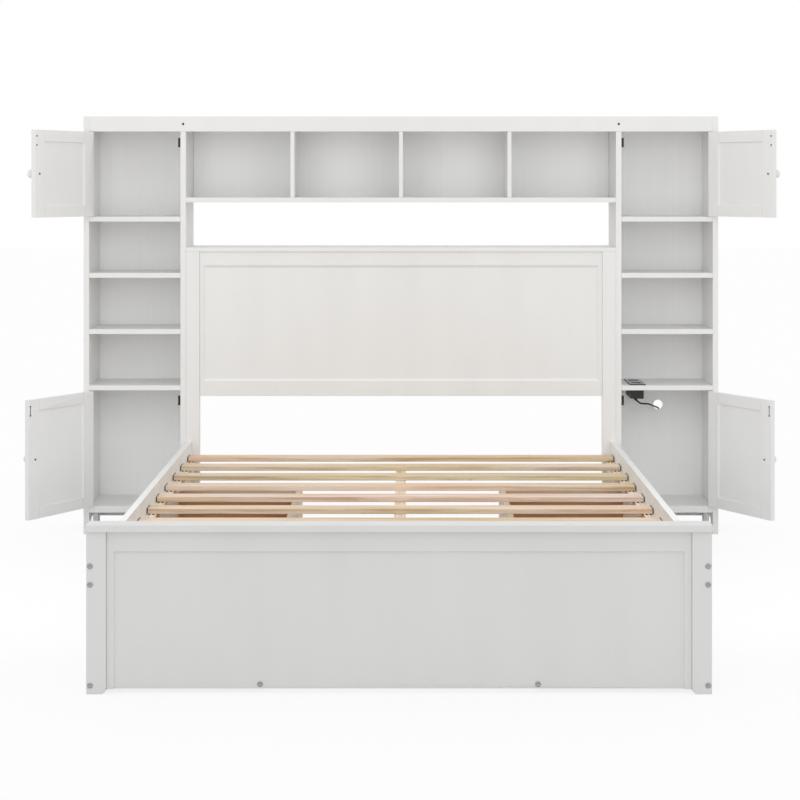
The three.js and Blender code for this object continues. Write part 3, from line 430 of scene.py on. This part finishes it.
# Cord: the route's points are those of the solid, in metres before the part's last move
CORD_RADIUS = 3 * MM
CORD_ROUTE = [
    (0.8843, 2.16, 0.4837), (0.8888, 2.1604, 0.4793), (0.895, 2.1625, 0.475),
    (0.903, 2.1675, 0.472), (0.912, 2.175, 0.4703), (0.921, 2.185, 0.4687), (0.93, 2.198, 0.4663),
    (0.9385, 2.213, 0.463), (0.9465, 2.229, 0.459), (0.9545, 2.246, 0.4547),
    (0.9625, 2.263, 0.4503), (0.9705, 2.28, 0.446), (0.9775, 2.296, 0.442), (0.9835, 2.311, 0.4386),
    (0.9875, 2.323, 0.435), (0.9903, 2.335, 0.4295), (0.9916, 2.346, 0.421), (0.992, 2.355, 0.4085),
    (0.992, 2.361, 0.392), (0.992, 2.366, 0.37), (0.992, 2.372, 0.335), (0.992, 2.38, 0.29),
    (0.992, 2.388, 0.245), (0.992, 2.396, 0.2), (0.992, 2.405, 0.15), (0.992, 2.416, 0.105),
    (0.992, 2.429, 0.068), (0.992, 2.443, 0.04), (0.992, 2.459, 0.019), (0.992, 2.477, 0.0075),
    (0.992, 2.493, 0.0036), (0.992, 2.505, 0.0033), (0.992, 2.5134, 0.0033),
]
ROUTE_TO_PART = Vector((MIDDLE_X, POST_FACE_Y, 0))
COIL_TURNS = 5.5
COIL_PITCH = 6.6 * MM
COIL_REACH = COIL_TURNS / 2 * COIL_PITCH
COIL_MIDDLE_RADIUS = 33 * MM
COIL_STEPS = 24
COIL_LEAD = 6.3 * MM
SHORT_OF_PLUG = 0.3 * MM


def coil_points(start):
    """The coil's turns: spiral in on the floor, climb a layer while turning back, spiral out."""
    inner = COIL_MIDDLE_RADIUS - COIL_REACH / 2
    centre = start - Vector((inner + COIL_REACH, 0, 0))
    points = []
    for index in range(round(COIL_TURNS * COIL_STEPS) + 1):
        turn = index / COIL_STEPS
        from_middle = turn - COIL_TURNS / 2
        radius = inner + COIL_PITCH * abs(from_middle)
        climb = min(max(2 * from_middle + 0.5, 0), 1)
        angle = FULL_TURN * turn
        offset = Vector((radius * math.cos(angle), radius * math.sin(angle), COIL_PITCH * climb))
        points.append(centre + offset)
    return centre, points


def make_cord():
    """The whole cord as one smooth curve, from the strain relief to the plug."""
    route = [Vector(point) + ROUTE_TO_PART for point in CORD_ROUTE]
    centre, turns = coil_points(route[-1] + Vector((0, COIL_LEAD, 0)))
    points = route + turns + [turns[-1] - Vector((0, COIL_LEAD - SHORT_OF_PLUG, 0))]
    curve = bpy.data.curves.new("mains_cord", "CURVE")
    curve.dimensions = "3D"
    curve.bevel_depth = CORD_RADIUS
    curve.bevel_resolution = 5
    curve.use_fill_caps = True
    curve.resolution_u = 4
    spline = curve.splines.new("BEZIER")
    spline.bezier_points.add(len(points) - 1)
    for bezier, point in zip(spline.bezier_points, points):
        bezier.co = point
        bezier.handle_left_type = bezier.handle_right_type = "AUTO"
    curve.materials.append(cord_jacket)
    cord = bpy.data.objects.new("mains_cord", curve)
    scene.collection.objects.link(cord)
    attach(cord, "root")
    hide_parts("power_cord", "cord_coil")
    length = sum((b - a).length for a, b in zip(points, points[1:]))
    return cord, points[0], length, centre


# The strap stands a little off the coil's sides, lies close on its top, and has blunt corners
STRAP_HALF_LENGTH = 6 * MM
STRAP_SIDE_GAP = 0.9 * MM
STRAP_SIDE_THICKNESS = 0.9 * MM
STRAP_TOP_GAP = 0.2 * MM
STRAP_TOP_THICKNESS = 0.05 * MM
STRAP_POINTS = 32
STRAP_ROUNDING = 0.45


def make_cord_tie(centre):
    """A narrow hook-and-loop strap round the coil's bundle, at the side away from the plug."""
    bm = bmesh.new()
    middle = centre + Vector((0, COIL_MIDDLE_RADIUS, COIL_PITCH / 2))
    half_width = COIL_REACH / 2 + CORD_RADIUS + STRAP_SIDE_GAP
    half_height = COIL_PITCH / 2 + CORD_RADIUS + STRAP_TOP_GAP
    edges = []
    for wider, higher in ((0, 0), (STRAP_SIDE_THICKNESS, STRAP_TOP_THICKNESS)):
        ring = []
        for index in range(STRAP_POINTS):
            angle = FULL_TURN * index / STRAP_POINTS
            c, s = math.cos(angle), math.sin(angle)
            y = math.copysign(abs(c) ** STRAP_ROUNDING, c) * (half_width + wider)
            z = math.copysign(abs(s) ** STRAP_ROUNDING, s) * (half_height + higher)
            ring.append(bm.verts.new(middle + Vector((-STRAP_HALF_LENGTH, y, z))))
        edges += [bm.edges.new(pair) for pair in zip(ring, ring[1:] + ring[:1])]
    face = bmesh.ops.bridge_loops(bm, edges=edges)["faces"]
    made = bmesh.ops.extrude_face_region(bm, geom=face)["geom"]
    moved = [vert for vert in made if isinstance(vert, bmesh.types.BMVert)]
    bmesh.ops.translate(bm, verts=moved, vec=(2 * STRAP_HALF_LENGTH, 0, 0))
    return add_piece("cord_tie", bm, cord_jacket, "root")


BLADE_FROM_MIDDLE = 6.35 * MM
BLADE_HALF_THICKNESS = 0.85 * MM
BLADE_HALF_WIDTH = 3.25 * MM
BLADE_START = 1.9 * MM
PIN_END = 18.2 * MM
EARTH_PIN_RADIUS = 2.5 * MM


def make_plug_pins():
    """The plug's bright blades and earth pin, over those of its solid."""
    low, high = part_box("mains_plug")
    x, z = (low.x + high.x) / 2, (low.z + high.z) / 2
    tip = low.y
    bm = bmesh.new()
    for sign in (-1, 1):
        middle = x + sign * BLADE_FROM_MIDDLE
        add_block(
            bm, (middle - BLADE_HALF_THICKNESS, tip + BLADE_START, z - BLADE_HALF_WIDTH),
            (middle + BLADE_HALF_THICKNESS, tip + PIN_END, z + BLADE_HALF_WIDTH),
        )
    add_bar(bm, EARTH_PIN_RADIUS, (x, tip - SUNK, z), (x, tip + PIN_END, z))
    bevel_edges(bm, METAL_EDGE)
    return add_piece("plug_pins", bm, steel, "root")


mains_cord, cord_exit, cord_length, coil_centre = make_cord()
cord_tie = make_cord_tie(coil_centre)
make_plug_pins()


# Finish of the pieces that keep their own shape
SLOT_MATERIALS = {
    "white_paint": lacquer, "pine": long_pine, "drawer_wood": drawer_wood,
    "black_plastic": black_plastic, "black_cord": cord_jacket,
}
OWN_MATERIALS = {
    **{node: hardboard for node in ("left_tower_back", "right_tower_back", "bridge_back")},
    **{node: slat_pine for node in SLATS},
    **{node: frame_wood for node in frame["nodes"] if node.endswith("_drawer_frame")},
}
SOFT_EDGE = {
    "white_paint": 1.0 * MM, "pine": 1.4 * MM, "drawer_wood": 0.9 * MM, "black_plastic": 0.5 * MM
}
FINE_EDGE = 0.3 * MM
FINE_NODES = (
    "left_outer_side", "right_outer_side", "left_upper_door", "left_lower_door", "right_upper_door",
    "right_lower_door", "left_inner_side", "right_inner_side", "mains_plug", "power_socket",
)
EASED_DEGREES = 40


def finish_nodes():
    """Gives every solid its material and eases its sharp edges."""
    for part in frame["record"]["subparts"]:
        node, slot = part["node"], part["material_slot"]
        solid = frame["nodes"][node]
        solid.data.materials.clear()
        solid.data.materials.append(OWN_MATERIALS.get(node, SLOT_MATERIALS[slot]))
        if slot == "black_cord":
            continue
        weld = solid.modifiers.new("joined corners", "WELD")
        weld.merge_threshold = WELD
        ease = solid.modifiers.new("eased edges", "BEVEL")
        ease.width = FINE_EDGE if node in FINE_NODES else SOFT_EDGE[slot]
        ease.segments = 2
        ease.limit_method = "ANGLE"
        ease.angle_limit = math.radians(EASED_DEGREES)
        ease.use_clamp_overlap = True


finish_nodes()


# Knobs: a turned mushroom, a hair larger than the one in the solid so that it covers it
KNOB_RADIUS = 15 * MM
KNOB_LENGTH = 28 * MM
KNOB_COVER = 0.25 * MM
KNOB_STEPS = 48
KNOB_PROFILE_SHARES = (
    (0.43, 0), (0.4, 0.12), (0.4, 0.28), (0.47, 0.42), (0.66, 0.5), (0.86, 0.56), (0.98, 0.64),
    (1, 0.72), (0.96, 0.84), (0.84, 0.93), (0.6, 0.985), (0.3, 1), (0, 1),
)
KNOB_SCREW_RADIUS = 4.7 * MM
KNOB_SCREW_HEIGHT = 2.2 * MM
KNOB_SCREW_TOP = {"door": 3.6 * MM, "drawer": 3.4 * MM}


def add_knob(bm, base, direction):
    """A knob with a closed foot, standing on a face at base."""
    outline = [
        (across * KNOB_RADIUS + (KNOB_COVER if across else 0), along * (KNOB_LENGTH + KNOB_COVER))
        for across, along in KNOB_PROFILE_SHARES
    ]
    knob = turned(outline, KNOB_STEPS)
    bmesh.ops.holes_fill(knob, edges=[edge for edge in knob.edges if edge.is_boundary], sides=0)
    add_turned(bm, knob, base, direction)


# Bolt heads: a low dome with a six-sided socket, over the plain head of the solid
BOLT_RADIUS = 7.7 * MM
BOLT_HEIGHT = 2.3 * MM
BOLT_SOCKET = 3.0 * MM
BOLT_SOCKET_FLOOR = 0.8 * MM
BOLT_OUTLINE = (
    (0, BOLT_SOCKET_FLOOR), (BOLT_SOCKET, BOLT_SOCKET_FLOOR), (BOLT_SOCKET, BOLT_HEIGHT - 0.3 * MM),
    (BOLT_SOCKET + 0.3 * MM, BOLT_HEIGHT), (BOLT_RADIUS - 1.2 * MM, BOLT_HEIGHT - 0.1 * MM),
    (BOLT_RADIUS, BOLT_HEIGHT - 1.0 * MM), (BOLT_RADIUS, 0), (0, 0),
)
BOLT_STEPS = 24
SOCKET_CORNER = math.pi / 3
SOCKET_MARGIN = 0.05 * MM


def add_bolt_head(bm, centre):
    """A bolt head on a face that looks to the foot end, its round socket drawn in to six sides."""
    head = turned(BOLT_OUTLINE, BOLT_STEPS)
    for vert in head.verts:
        flat = Vector((vert.co.x, vert.co.y, 0))
        if 0 < flat.length < BOLT_SOCKET + SOCKET_MARGIN:
            angle = math.atan2(flat.y, flat.x) % SOCKET_CORNER - SOCKET_CORNER / 2
            vert.co.xy = flat.xy * (math.cos(SOCKET_CORNER / 2) / math.cos(angle))
    add_turned(bm, head, centre, (0, -1, 0))


# Bolts and screws are placed from the bed's middle, the rail's top, the fascia's top and the floor
POST_BOLT_X = BED_HALF - 10 * MM
POST_BOLT_HEIGHTS = (rail_high.z - 17 * MM, rail_high.z - 64 * MM, 23 * MM)
PANEL_BOLT_X = 354 * MM
PANEL_SET_BACK = 14 * MM
FASCIA_SCREW_X = BED_HALF + 10.3 * MM
FASCIA_SCREW_FROM_TOP = 28 * MM
FASCIA_SCREW_RADIUS = 4.8 * MM
FASCIA_SCREW_TOP = 3.6 * MM
FASCIA_SCREW_HEIGHT = 1.5 * MM
FASCIA_SCREW_EDGE = 0.25 * MM


def make_bed_bolts():
    """Three bolt heads on each foot post, two on the footboard panel, and the fascia's screws."""
    bm = bmesh.new()
    for _, sign in SIDES:
        for height in POST_BOLT_HEIGHTS:
            add_bolt_head(bm, (MIDDLE_X + sign * POST_BOLT_X, POST_FACE_Y, height))
        x, y = MIDDLE_X + sign * PANEL_BOLT_X, POST_FACE_Y + PANEL_SET_BACK
        add_bolt_head(bm, (x, y, POST_BOLT_HEIGHTS[-1]))
    add_piece("bolt_heads", bm, steel, "root", smooth=True)

    bm = bmesh.new()
    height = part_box("top_fascia")[1].z - FASCIA_SCREW_FROM_TOP
    for _, sign in SIDES:
        base = Vector((MIDDLE_X + sign * FASCIA_SCREW_X, TOWER_FRONT_Y, height))
        tip = base - Vector((0, FASCIA_SCREW_HEIGHT, 0))
        add_bar(bm, FASCIA_SCREW_RADIUS, base, tip, end_radius=FASCIA_SCREW_TOP)
    bevel_edges(bm, FASCIA_SCREW_EDGE)
    add_piece("fascia_screws", bm, dark_steel, "root")


make_bed_bolts()


# Doors: their fittings are placed in the door's own frame, closed, with the hinge axis at x = y = 0
LEVELS = ("upper", "lower")
DOOR_WIDTH = 334 * MM
DOOR_EDGE = 0.5 * MM
DOOR_FACE = 3 * MM
DOOR_BACK = 21 * MM
DOOR_STILE = 52 * MM
DOOR_RAIL = 40 * MM
# Seams are thin lines of painted shade: their width, the gap at their ends, how far they stand proud
SEAM = 0.6 * MM
SEAM_END = 0.4 * MM
SEAM_PROUD = 0.06 * MM
KNOB_INSETS = {"upper": 22 * MM, "lower": 32 * MM}
# Hinges, and the face of the outer side that carries their fixed halves, from the bed's middle
HINGE_FROM_END = 75 * MM
KNUCKLE = 20 * MM
KNUCKLE_RADIUS = 4.15 * MM
RUNNING_GAP = 0.4 * MM
LEAF = 0.95 * MM
LEAF_DEPTH = 14 * MM
LEAF_HALF_HEIGHT = 1.5 * KNUCKLE
FIXED_LEAF_START = 1.6 * MM
FIXED_HALF_EDGE = 0.25 * MM
OUTER_SIDE_FACE = 1153.3 * MM
# Catches, and the face of the inner side that carries them, from the bed's middle
INNER_SIDE_FACE = 815.3 * MM
CATCH_FROM_TOP = 38 * MM
CATCH_FRONT = 19.6 * MM
CATCH_DEPTH = 16.3 * MM
CATCH_REACH = 11.2 * MM
CATCH_HALF_HEIGHT = 17.2 * MM
CATCH_EDGE = 0.6 * MM
MAGNET_FROM_MIDDLE = 12 * MM
MAGNET_RADIUS = 2.4 * MM
MAGNET_PROUD = 0.12 * MM
# Strike plates on the doors' backs, their screws, and a dark strip of painted shade on the lower ones
STRIKE_FROM_EDGE = (0.9 * MM, 13.1 * MM)
STRIKE_HALF_HEIGHT = 20.1 * MM
STRIKE_SUNK = 0.2 * MM
STRIKE_THICKNESS = 1.3 * MM
STRIKE_SCREW_FROM_MIDDLE = 16 * MM
STRIKE_SCREW_BASE = 1.25 * MM
STRIKE_SCREW_HEIGHT = 0.15 * MM
STRIKE_SCREW_RADIUS = 3.4 * MM
STRIKE_SCREW_TOP = 3.2 * MM
SHADE_STRIP_HALF_WIDTH = 1.6 * MM
SHADE_STRIP_SHARE = 0.8


def hinge_middles(height):
    """How high over a door's lower end the middles of its two hinges are."""
    return (HINGE_FROM_END, height - HINGE_FROM_END)


def make_door_fittings(side, sign, level):
    """Knob, moving knuckles and leaves, strike plate, screws and painted shade lines of one door."""
    node = f"{side}_{level}_door"
    low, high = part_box(node)
    height = high.z - low.z
    joint = next(joint for joint in frame["joints"] if joint["child"] == node)
    closed = joint["range_deg"][0] if sign > 0 else joint["range_deg"][1]
    axis = Vector((*joint["pos_m"][:2], low.z))
    place = Matrix.Translation(axis) @ Matrix.Rotation(math.radians(-closed), 4, "Z")

    def along(distance):
        """X on the closed door at a distance from its hinge edge."""
        return -sign * (DOOR_EDGE + distance)

    def add_fitting(word, bm, material, smooth=False):
        """Turns a fitting from the closed door to the door at rest and makes it a piece."""
        bm.transform(place)
        add_piece(f"{node}_{word}", bm, material, node, smooth)

    knob_x = along(DOOR_WIDTH - KNOB_INSETS[level])
    bm = bmesh.new()
    add_knob(bm, (knob_x, DOOR_FACE, height / 2), (0, -1, 0))
    add_fitting("knob", bm, lacquer, smooth=True)

    bm = bmesh.new()
    half = KNUCKLE / 2 - RUNNING_GAP
    for middle in hinge_middles(height):
        add_bar(bm, KNUCKLE_RADIUS, (0, 0, middle - half), (0, 0, middle + half))
    near, far = sorted((along(SUNK), along(-LEAF)))
    for middle in hinge_middles(height):
        add_block(
            bm, (near, KNUCKLE_RADIUS + RUNNING_GAP, middle - LEAF_HALF_HEIGHT),
            (far, DOOR_FACE + LEAF_DEPTH, middle + LEAF_HALF_HEIGHT),
        )
    bevel_edges(bm, METAL_EDGE)
    add_fitting("fittings", bm, steel)

    bm = bmesh.new()
    strike_z = height - CATCH_FROM_TOP
    near, far = sorted(along(DOOR_WIDTH - inset) for inset in STRIKE_FROM_EDGE)
    add_block(
        bm, (near, DOOR_BACK - STRIKE_SUNK, strike_z - STRIKE_HALF_HEIGHT),
        (far, DOOR_BACK + STRIKE_THICKNESS, strike_z + STRIKE_HALF_HEIGHT),
    )
    bevel_edges(bm, METAL_EDGE)
    add_fitting("strike_plate", bm, lacquer)
    strike_base = Vector(((near + far) / 2, DOOR_BACK + STRIKE_SCREW_BASE, strike_z))

    bm = bmesh.new()
    # Painted shade: thin grey lines on both faces stand for the shadow in the grooves where rails meet stiles
    for middle in (DOOR_STILE, DOOR_WIDTH - DOOR_STILE):
        near, far = sorted((along(middle - SEAM / 2), along(middle + SEAM / 2)))
        for start, end in ((SEAM_END, DOOR_RAIL), (height - DOOR_RAIL, height - SEAM_END)):
            for face in (DOOR_FACE, DOOR_BACK):
                add_block(bm, (near, face - SEAM_PROUD, start), (far, face + SEAM_PROUD, end))
    add_fitting("seams", bm, seam_shade_grey)

    bm = bmesh.new()
    proud = Vector((0, STRIKE_SCREW_HEIGHT, 0))
    for offset in (-STRIKE_SCREW_FROM_MIDDLE, STRIKE_SCREW_FROM_MIDDLE):
        base = strike_base + UP * offset
        add_bar(bm, STRIKE_SCREW_RADIUS, base, base + proud, end_radius=STRIKE_SCREW_TOP)
    # Painted shade: a dark strip down the lower doors' strike plates stands for the shade seen there
    if level == "lower":
        shade_strip = Vector((SHADE_STRIP_HALF_WIDTH, 0, STRIKE_SCREW_FROM_MIDDLE))
        add_block(bm, strike_base - shade_strip, strike_base + shade_strip + SHADE_STRIP_SHARE * proud)
    base = Vector((knob_x, DOOR_BACK, height / 2))
    tip = base + Vector((0, KNOB_SCREW_HEIGHT, 0))
    add_bar(bm, KNOB_SCREW_RADIUS, base, tip, end_radius=KNOB_SCREW_TOP["door"])
    add_fitting("screws", bm, dark_steel)


def make_tower_fittings(side, sign):
    """Fixed knuckles and leaves of the door hinges, and the catches on the inner side."""
    halves = bmesh.new()
    catches = bmesh.new()
    outer_face = MIDDLE_X + sign * OUTER_SIDE_FACE
    inner_face = MIDDLE_X + sign * INNER_SIDE_FACE
    for level in LEVELS:
        node = f"{side}_{level}_door"
        low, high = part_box(node)
        joint = next(joint for joint in frame["joints"] if joint["child"] == node)
        x, y = joint["pos_m"][:2]
        for middle in hinge_middles(high.z - low.z):
            z = low.z + middle
            for direction in (-1, 1):
                start, end = z + direction * KNUCKLE / 2, z + direction * LEAF_HALF_HEIGHT
                add_bar(halves, KNUCKLE_RADIUS, (x, y, start), (x, y, end))
            near, far = sorted((outer_face + sign * SUNK, outer_face - sign * LEAF))
            add_block(
                halves, (near, TOWER_FRONT_Y + FIXED_LEAF_START, z - LEAF_HALF_HEIGHT),
                (far, TOWER_FRONT_Y + LEAF_DEPTH, z + LEAF_HALF_HEIGHT),
            )
        z = high.z - CATCH_FROM_TOP
        near, far = sorted((inner_face - sign * SUNK, inner_face + sign * CATCH_REACH))
        front = TOWER_FRONT_Y + CATCH_FRONT
        back = front + CATCH_DEPTH
        add_block(catches, (near, front, z - CATCH_HALF_HEIGHT), (far, back, z + CATCH_HALF_HEIGHT))
        for offset in (-MAGNET_FROM_MIDDLE, MAGNET_FROM_MIDDLE):
            base = Vector(((near + far) / 2, front, z + offset))
            add_bar(catches, MAGNET_RADIUS, base, base - Vector((0, MAGNET_PROUD, 0)))
    bevel_edges(halves, FIXED_HALF_EDGE)
    add_piece(f"{side}_hinge_fixed_halves", halves, steel, "root")
    bevel_edges(catches, CATCH_EDGE)
    add_piece(f"{side}_door_catches", catches, black_plastic, "root")


for side, sign in SIDES:
    make_tower_fittings(side, sign)
    for level in LEVELS:
        make_door_fittings(side, sign, level)


# Drawers
DRAWER_FRONT = 18 * MM
BOTTOM_SPAN = (18.3 * MM, 417.7 * MM)
BOTTOM_FROM_END = 22.3 * MM
BOTTOM_HEIGHT = 14 * MM
BOTTOM_SUNK = 0.2 * MM
BOTTOM_PROUD = 0.5 * MM


def make_drawer_pieces(side, sign, end_word):
    """A drawer's knob, the knob's screw, and the plywood sheet of the bottom."""
    node = f"{side}_{end_word}_drawer"
    low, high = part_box(node)
    face_x = MIDDLE_X + sign * BED_HALF
    y, z = (low.y + high.y) / 2, (low.z + high.z) / 2
    bm = bmesh.new()
    add_knob(bm, (face_x, y, z), (sign, 0, 0))
    add_piece(f"{node}_knob", bm, lacquer, node, smooth=True)

    bm = bmesh.new()
    base = Vector((face_x - sign * DRAWER_FRONT, y, z))
    tip = base - Vector((sign * KNOB_SCREW_HEIGHT, 0, 0))
    add_bar(bm, KNOB_SCREW_RADIUS, base, tip, end_radius=KNOB_SCREW_TOP["drawer"])
    add_piece(f"{node}_knob_screw", bm, steel, node)

    bm = bmesh.new()
    near, far = sorted(face_x - sign * distance for distance in BOTTOM_SPAN)
    half = (high.y - low.y) / 2 - BOTTOM_FROM_END
    top = low.z + BOTTOM_HEIGHT
    add_block(bm, (near, y - half, top - BOTTOM_SUNK), (far, y + half, top + BOTTOM_PROUD))
    add_piece(f"{node}_bottom_sheet", bm, plywood, node)


for side, sign in SIDES:
    for end_word in ("foot", "head"):
        make_drawer_pieces(side, sign, end_word)


# Slats
SCREW_INSETS = (9 * MM, 22 * MM)
SCREW_BESIDE_SLAT = 9 * MM
SCREW_SUNK = 0.3 * MM
SCREW_HEIGHT = 2.6 * MM
SCREW_RADIUS = 4.2 * MM
SCREW_TOP = 2.8 * MM
SCREW_SIDES = 16
# Dark bands over the slat ends are painted shade for the gap at each end: length, wall, drop, edge
END_SHADE_LENGTH = 3 * MM
END_SHADE_WALL = 0.35 * MM
END_SHADE_UNDER = 0.2 * MM
END_SHADE_EDGE = 0.8 * MM


def make_ledger_screws():
    """Two domed screw heads in the ledger beside each end of every slat."""
    bm = bmesh.new()
    for node in SLATS:
        low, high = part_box(node)
        for sign, end in ((1, low.x), (-1, high.x)):
            for inset in SCREW_INSETS:
                base = Vector((end + sign * inset, low.y - SCREW_BESIDE_SLAT, low.z - SCREW_SUNK))
                add_bar(bm, SCREW_RADIUS, base, base + UP * SCREW_HEIGHT, SCREW_SIDES, SCREW_TOP)
    add_piece("ledger_screws", bm, dark_steel, "root")


def make_slat_end_shade():
    """Painted shade: a narrow dark band over each end of every slat, for the gap at its end."""
    bm = bmesh.new()
    for node in SLATS:
        low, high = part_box(node)
        left_end = (low.x - END_SHADE_WALL, low.x + END_SHADE_LENGTH)
        right_end = (high.x - END_SHADE_LENGTH, high.x + END_SHADE_WALL)
        for near, far in (left_end, right_end):
            add_block(
                bm, (near, low.y - END_SHADE_WALL, low.z - END_SHADE_UNDER),
                (far, high.y + END_SHADE_WALL, high.z + END_SHADE_WALL),
            )
    bevel_edges(bm, END_SHADE_EDGE)
    add_piece("slat_end_painted_shade", bm, black_plastic, "root")


make_ledger_screws()
make_slat_end_shade()


# Socket: where its black plate starts and ends behind the tower's front, and the sheet on the plate
PLATE_START = 8 * MM
PLATE_END = 188 * MM
SHEET_EDGE = 1.2 * MM
SHEET = 0.5 * MM
SHEET_BEVEL = 0.15 * MM
OUTLET_HALF_X = 18.4 * MM
OUTLET_HALF_Y = 17.4 * MM
OUTLET_STEP = 82.5 * MM


def make_socket_sheet():
    """A thin grey sheet on the socket's black plate, open over both outlets."""
    low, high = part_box("power_socket")
    front = TOWER_FRONT_Y + PLATE_START + SHEET_EDGE
    back = TOWER_FRONT_Y + PLATE_END - SHEET_EDGE
    left, right = low.x + SHEET_EDGE, high.x - SHEET_EDGE
    middle_x, middle_y = (left + right) / 2, (front + back) / 2
    bottom, top = high.z - SUNK, high.z + SHEET
    bm = bmesh.new()
    for near, far in ((left, middle_x - OUTLET_HALF_X), (middle_x + OUTLET_HALF_X, right)):
        add_block(bm, (near, front, bottom), (far, back, top))
    edges = [front]
    for sign in (-1, 1):
        middle = middle_y + sign * OUTLET_STEP / 2
        edges += [middle - OUTLET_HALF_Y, middle + OUTLET_HALF_Y]
    edges.append(back)
    left, right = middle_x - OUTLET_HALF_X, middle_x + OUTLET_HALF_X
    for near, far in zip(edges[::2], edges[1::2]):
        add_block(bm, (left, near, bottom), (right, far, top))
    bevel_edges(bm, SHEET_BEVEL, segments=1)
    add_piece("socket_sheet", bm, grey_sheet, "root")


make_socket_sheet()


# Stage: a plain pale floor, even light all round, and two softboxes over the bed. A softbox is
# placed and aimed by its distance to either side, then by Y and Z.
FLOOR_REACH = 30
FLOOR_GLOW = 0.82
WORLD_STRENGTH = 0.92
SOFTBOX_X = 0.95
SOFTBOX_PLACE = (-0.8, 1.3)
SOFTBOX_AIM = (1, 1.2)
SOFTBOX_SIZE = (0.9, 1.6)
SOFTBOX_WATTS = 5


def make_floor():
    """The floor: pale paper to the object, and nearly white with soft shadows to the camera."""
    bm = bmesh.new()
    bmesh.ops.create_grid(bm, x_segments=1, y_segments=1, size=FLOOR_REACH)
    mesh = bpy.data.meshes.new("floor")
    bm.to_mesh(mesh)
    bm.free()
    floor = bpy.data.objects.new("floor", mesh)
    scene.collection.objects.link(floor)
    material = bpy.data.materials.new("pale_studio_floor")
    material.use_nodes = True
    tree = material.node_tree
    tree.nodes.clear()
    is_camera = add(tree, "ShaderNodeLightPath").outputs["Is Camera Ray"]
    paper = add(tree, "ShaderNodeBsdfDiffuse", {"Color": linear("#dedede")}).outputs[0]
    glow = add(tree, "ShaderNodeEmission", {"Color": WHITE, "Strength": 1.0}).outputs[0]
    white = add(tree, "ShaderNodeBsdfDiffuse", {"Color": WHITE}).outputs[0]
    seen = add(tree, "ShaderNodeMixShader", {0: FLOOR_GLOW, 1: white, 2: glow}).outputs[0]
    both = add(tree, "ShaderNodeMixShader", {0: is_camera, 1: paper, 2: seen}).outputs[0]
    add(tree, "ShaderNodeOutputMaterial", {"Surface": both})
    mesh.materials.append(material)


def make_world():
    """Even light on the object, and a background white to the camera, in gloss and in glass."""
    world = bpy.data.worlds.new("studio")
    scene.world = world
    world.use_nodes = True
    tree = world.node_tree
    tree.nodes.clear()
    path = add(tree, "ShaderNodeLightPath").outputs
    is_seen = path["Is Camera Ray"]
    for ray in ("Is Glossy Ray", "Is Transmission Ray"):
        either = add(tree, "ShaderNodeMath", {0: is_seen, 1: path[ray]}, operation="MAXIMUM")
        is_seen = either.outputs[0]
    soft = add(tree, "ShaderNodeBackground", {"Color": WHITE, "Strength": WORLD_STRENGTH})
    white = add(tree, "ShaderNodeBackground", {"Color": WHITE, "Strength": 1.0})
    inputs = {0: is_seen, 1: soft.outputs[0], 2: white.outputs[0]}
    mixed = add(tree, "ShaderNodeMixShader", inputs)
    add(tree, "ShaderNodeOutputWorld", {"Surface": mixed.outputs[0]})


def make_softboxes():
    """Two wide lamps that face the headboard and fill its towers and bridge."""
    for side, sign in SIDES:
        place = Vector((sign * SOFTBOX_X, *SOFTBOX_PLACE))
        aim = Vector((sign * SOFTBOX_X, *SOFTBOX_AIM))
        lamp_data = bpy.data.lights.new(f"{side}_softbox", "AREA")
        lamp_data.shape = "RECTANGLE"
        lamp_data.size, lamp_data.size_y = SOFTBOX_SIZE
        lamp_data.energy = SOFTBOX_WATTS
        lamp = bpy.data.objects.new(f"{side}_softbox", lamp_data)
        lamp.location = place
        lamp.rotation_euler = (place - aim).to_track_quat("Z", "Y").to_euler()
        lamp.visible_camera = False
        scene.collection.objects.link(lamp)


make_floor()
make_world()
make_softboxes()
scene.view_settings.view_transform = "Standard"
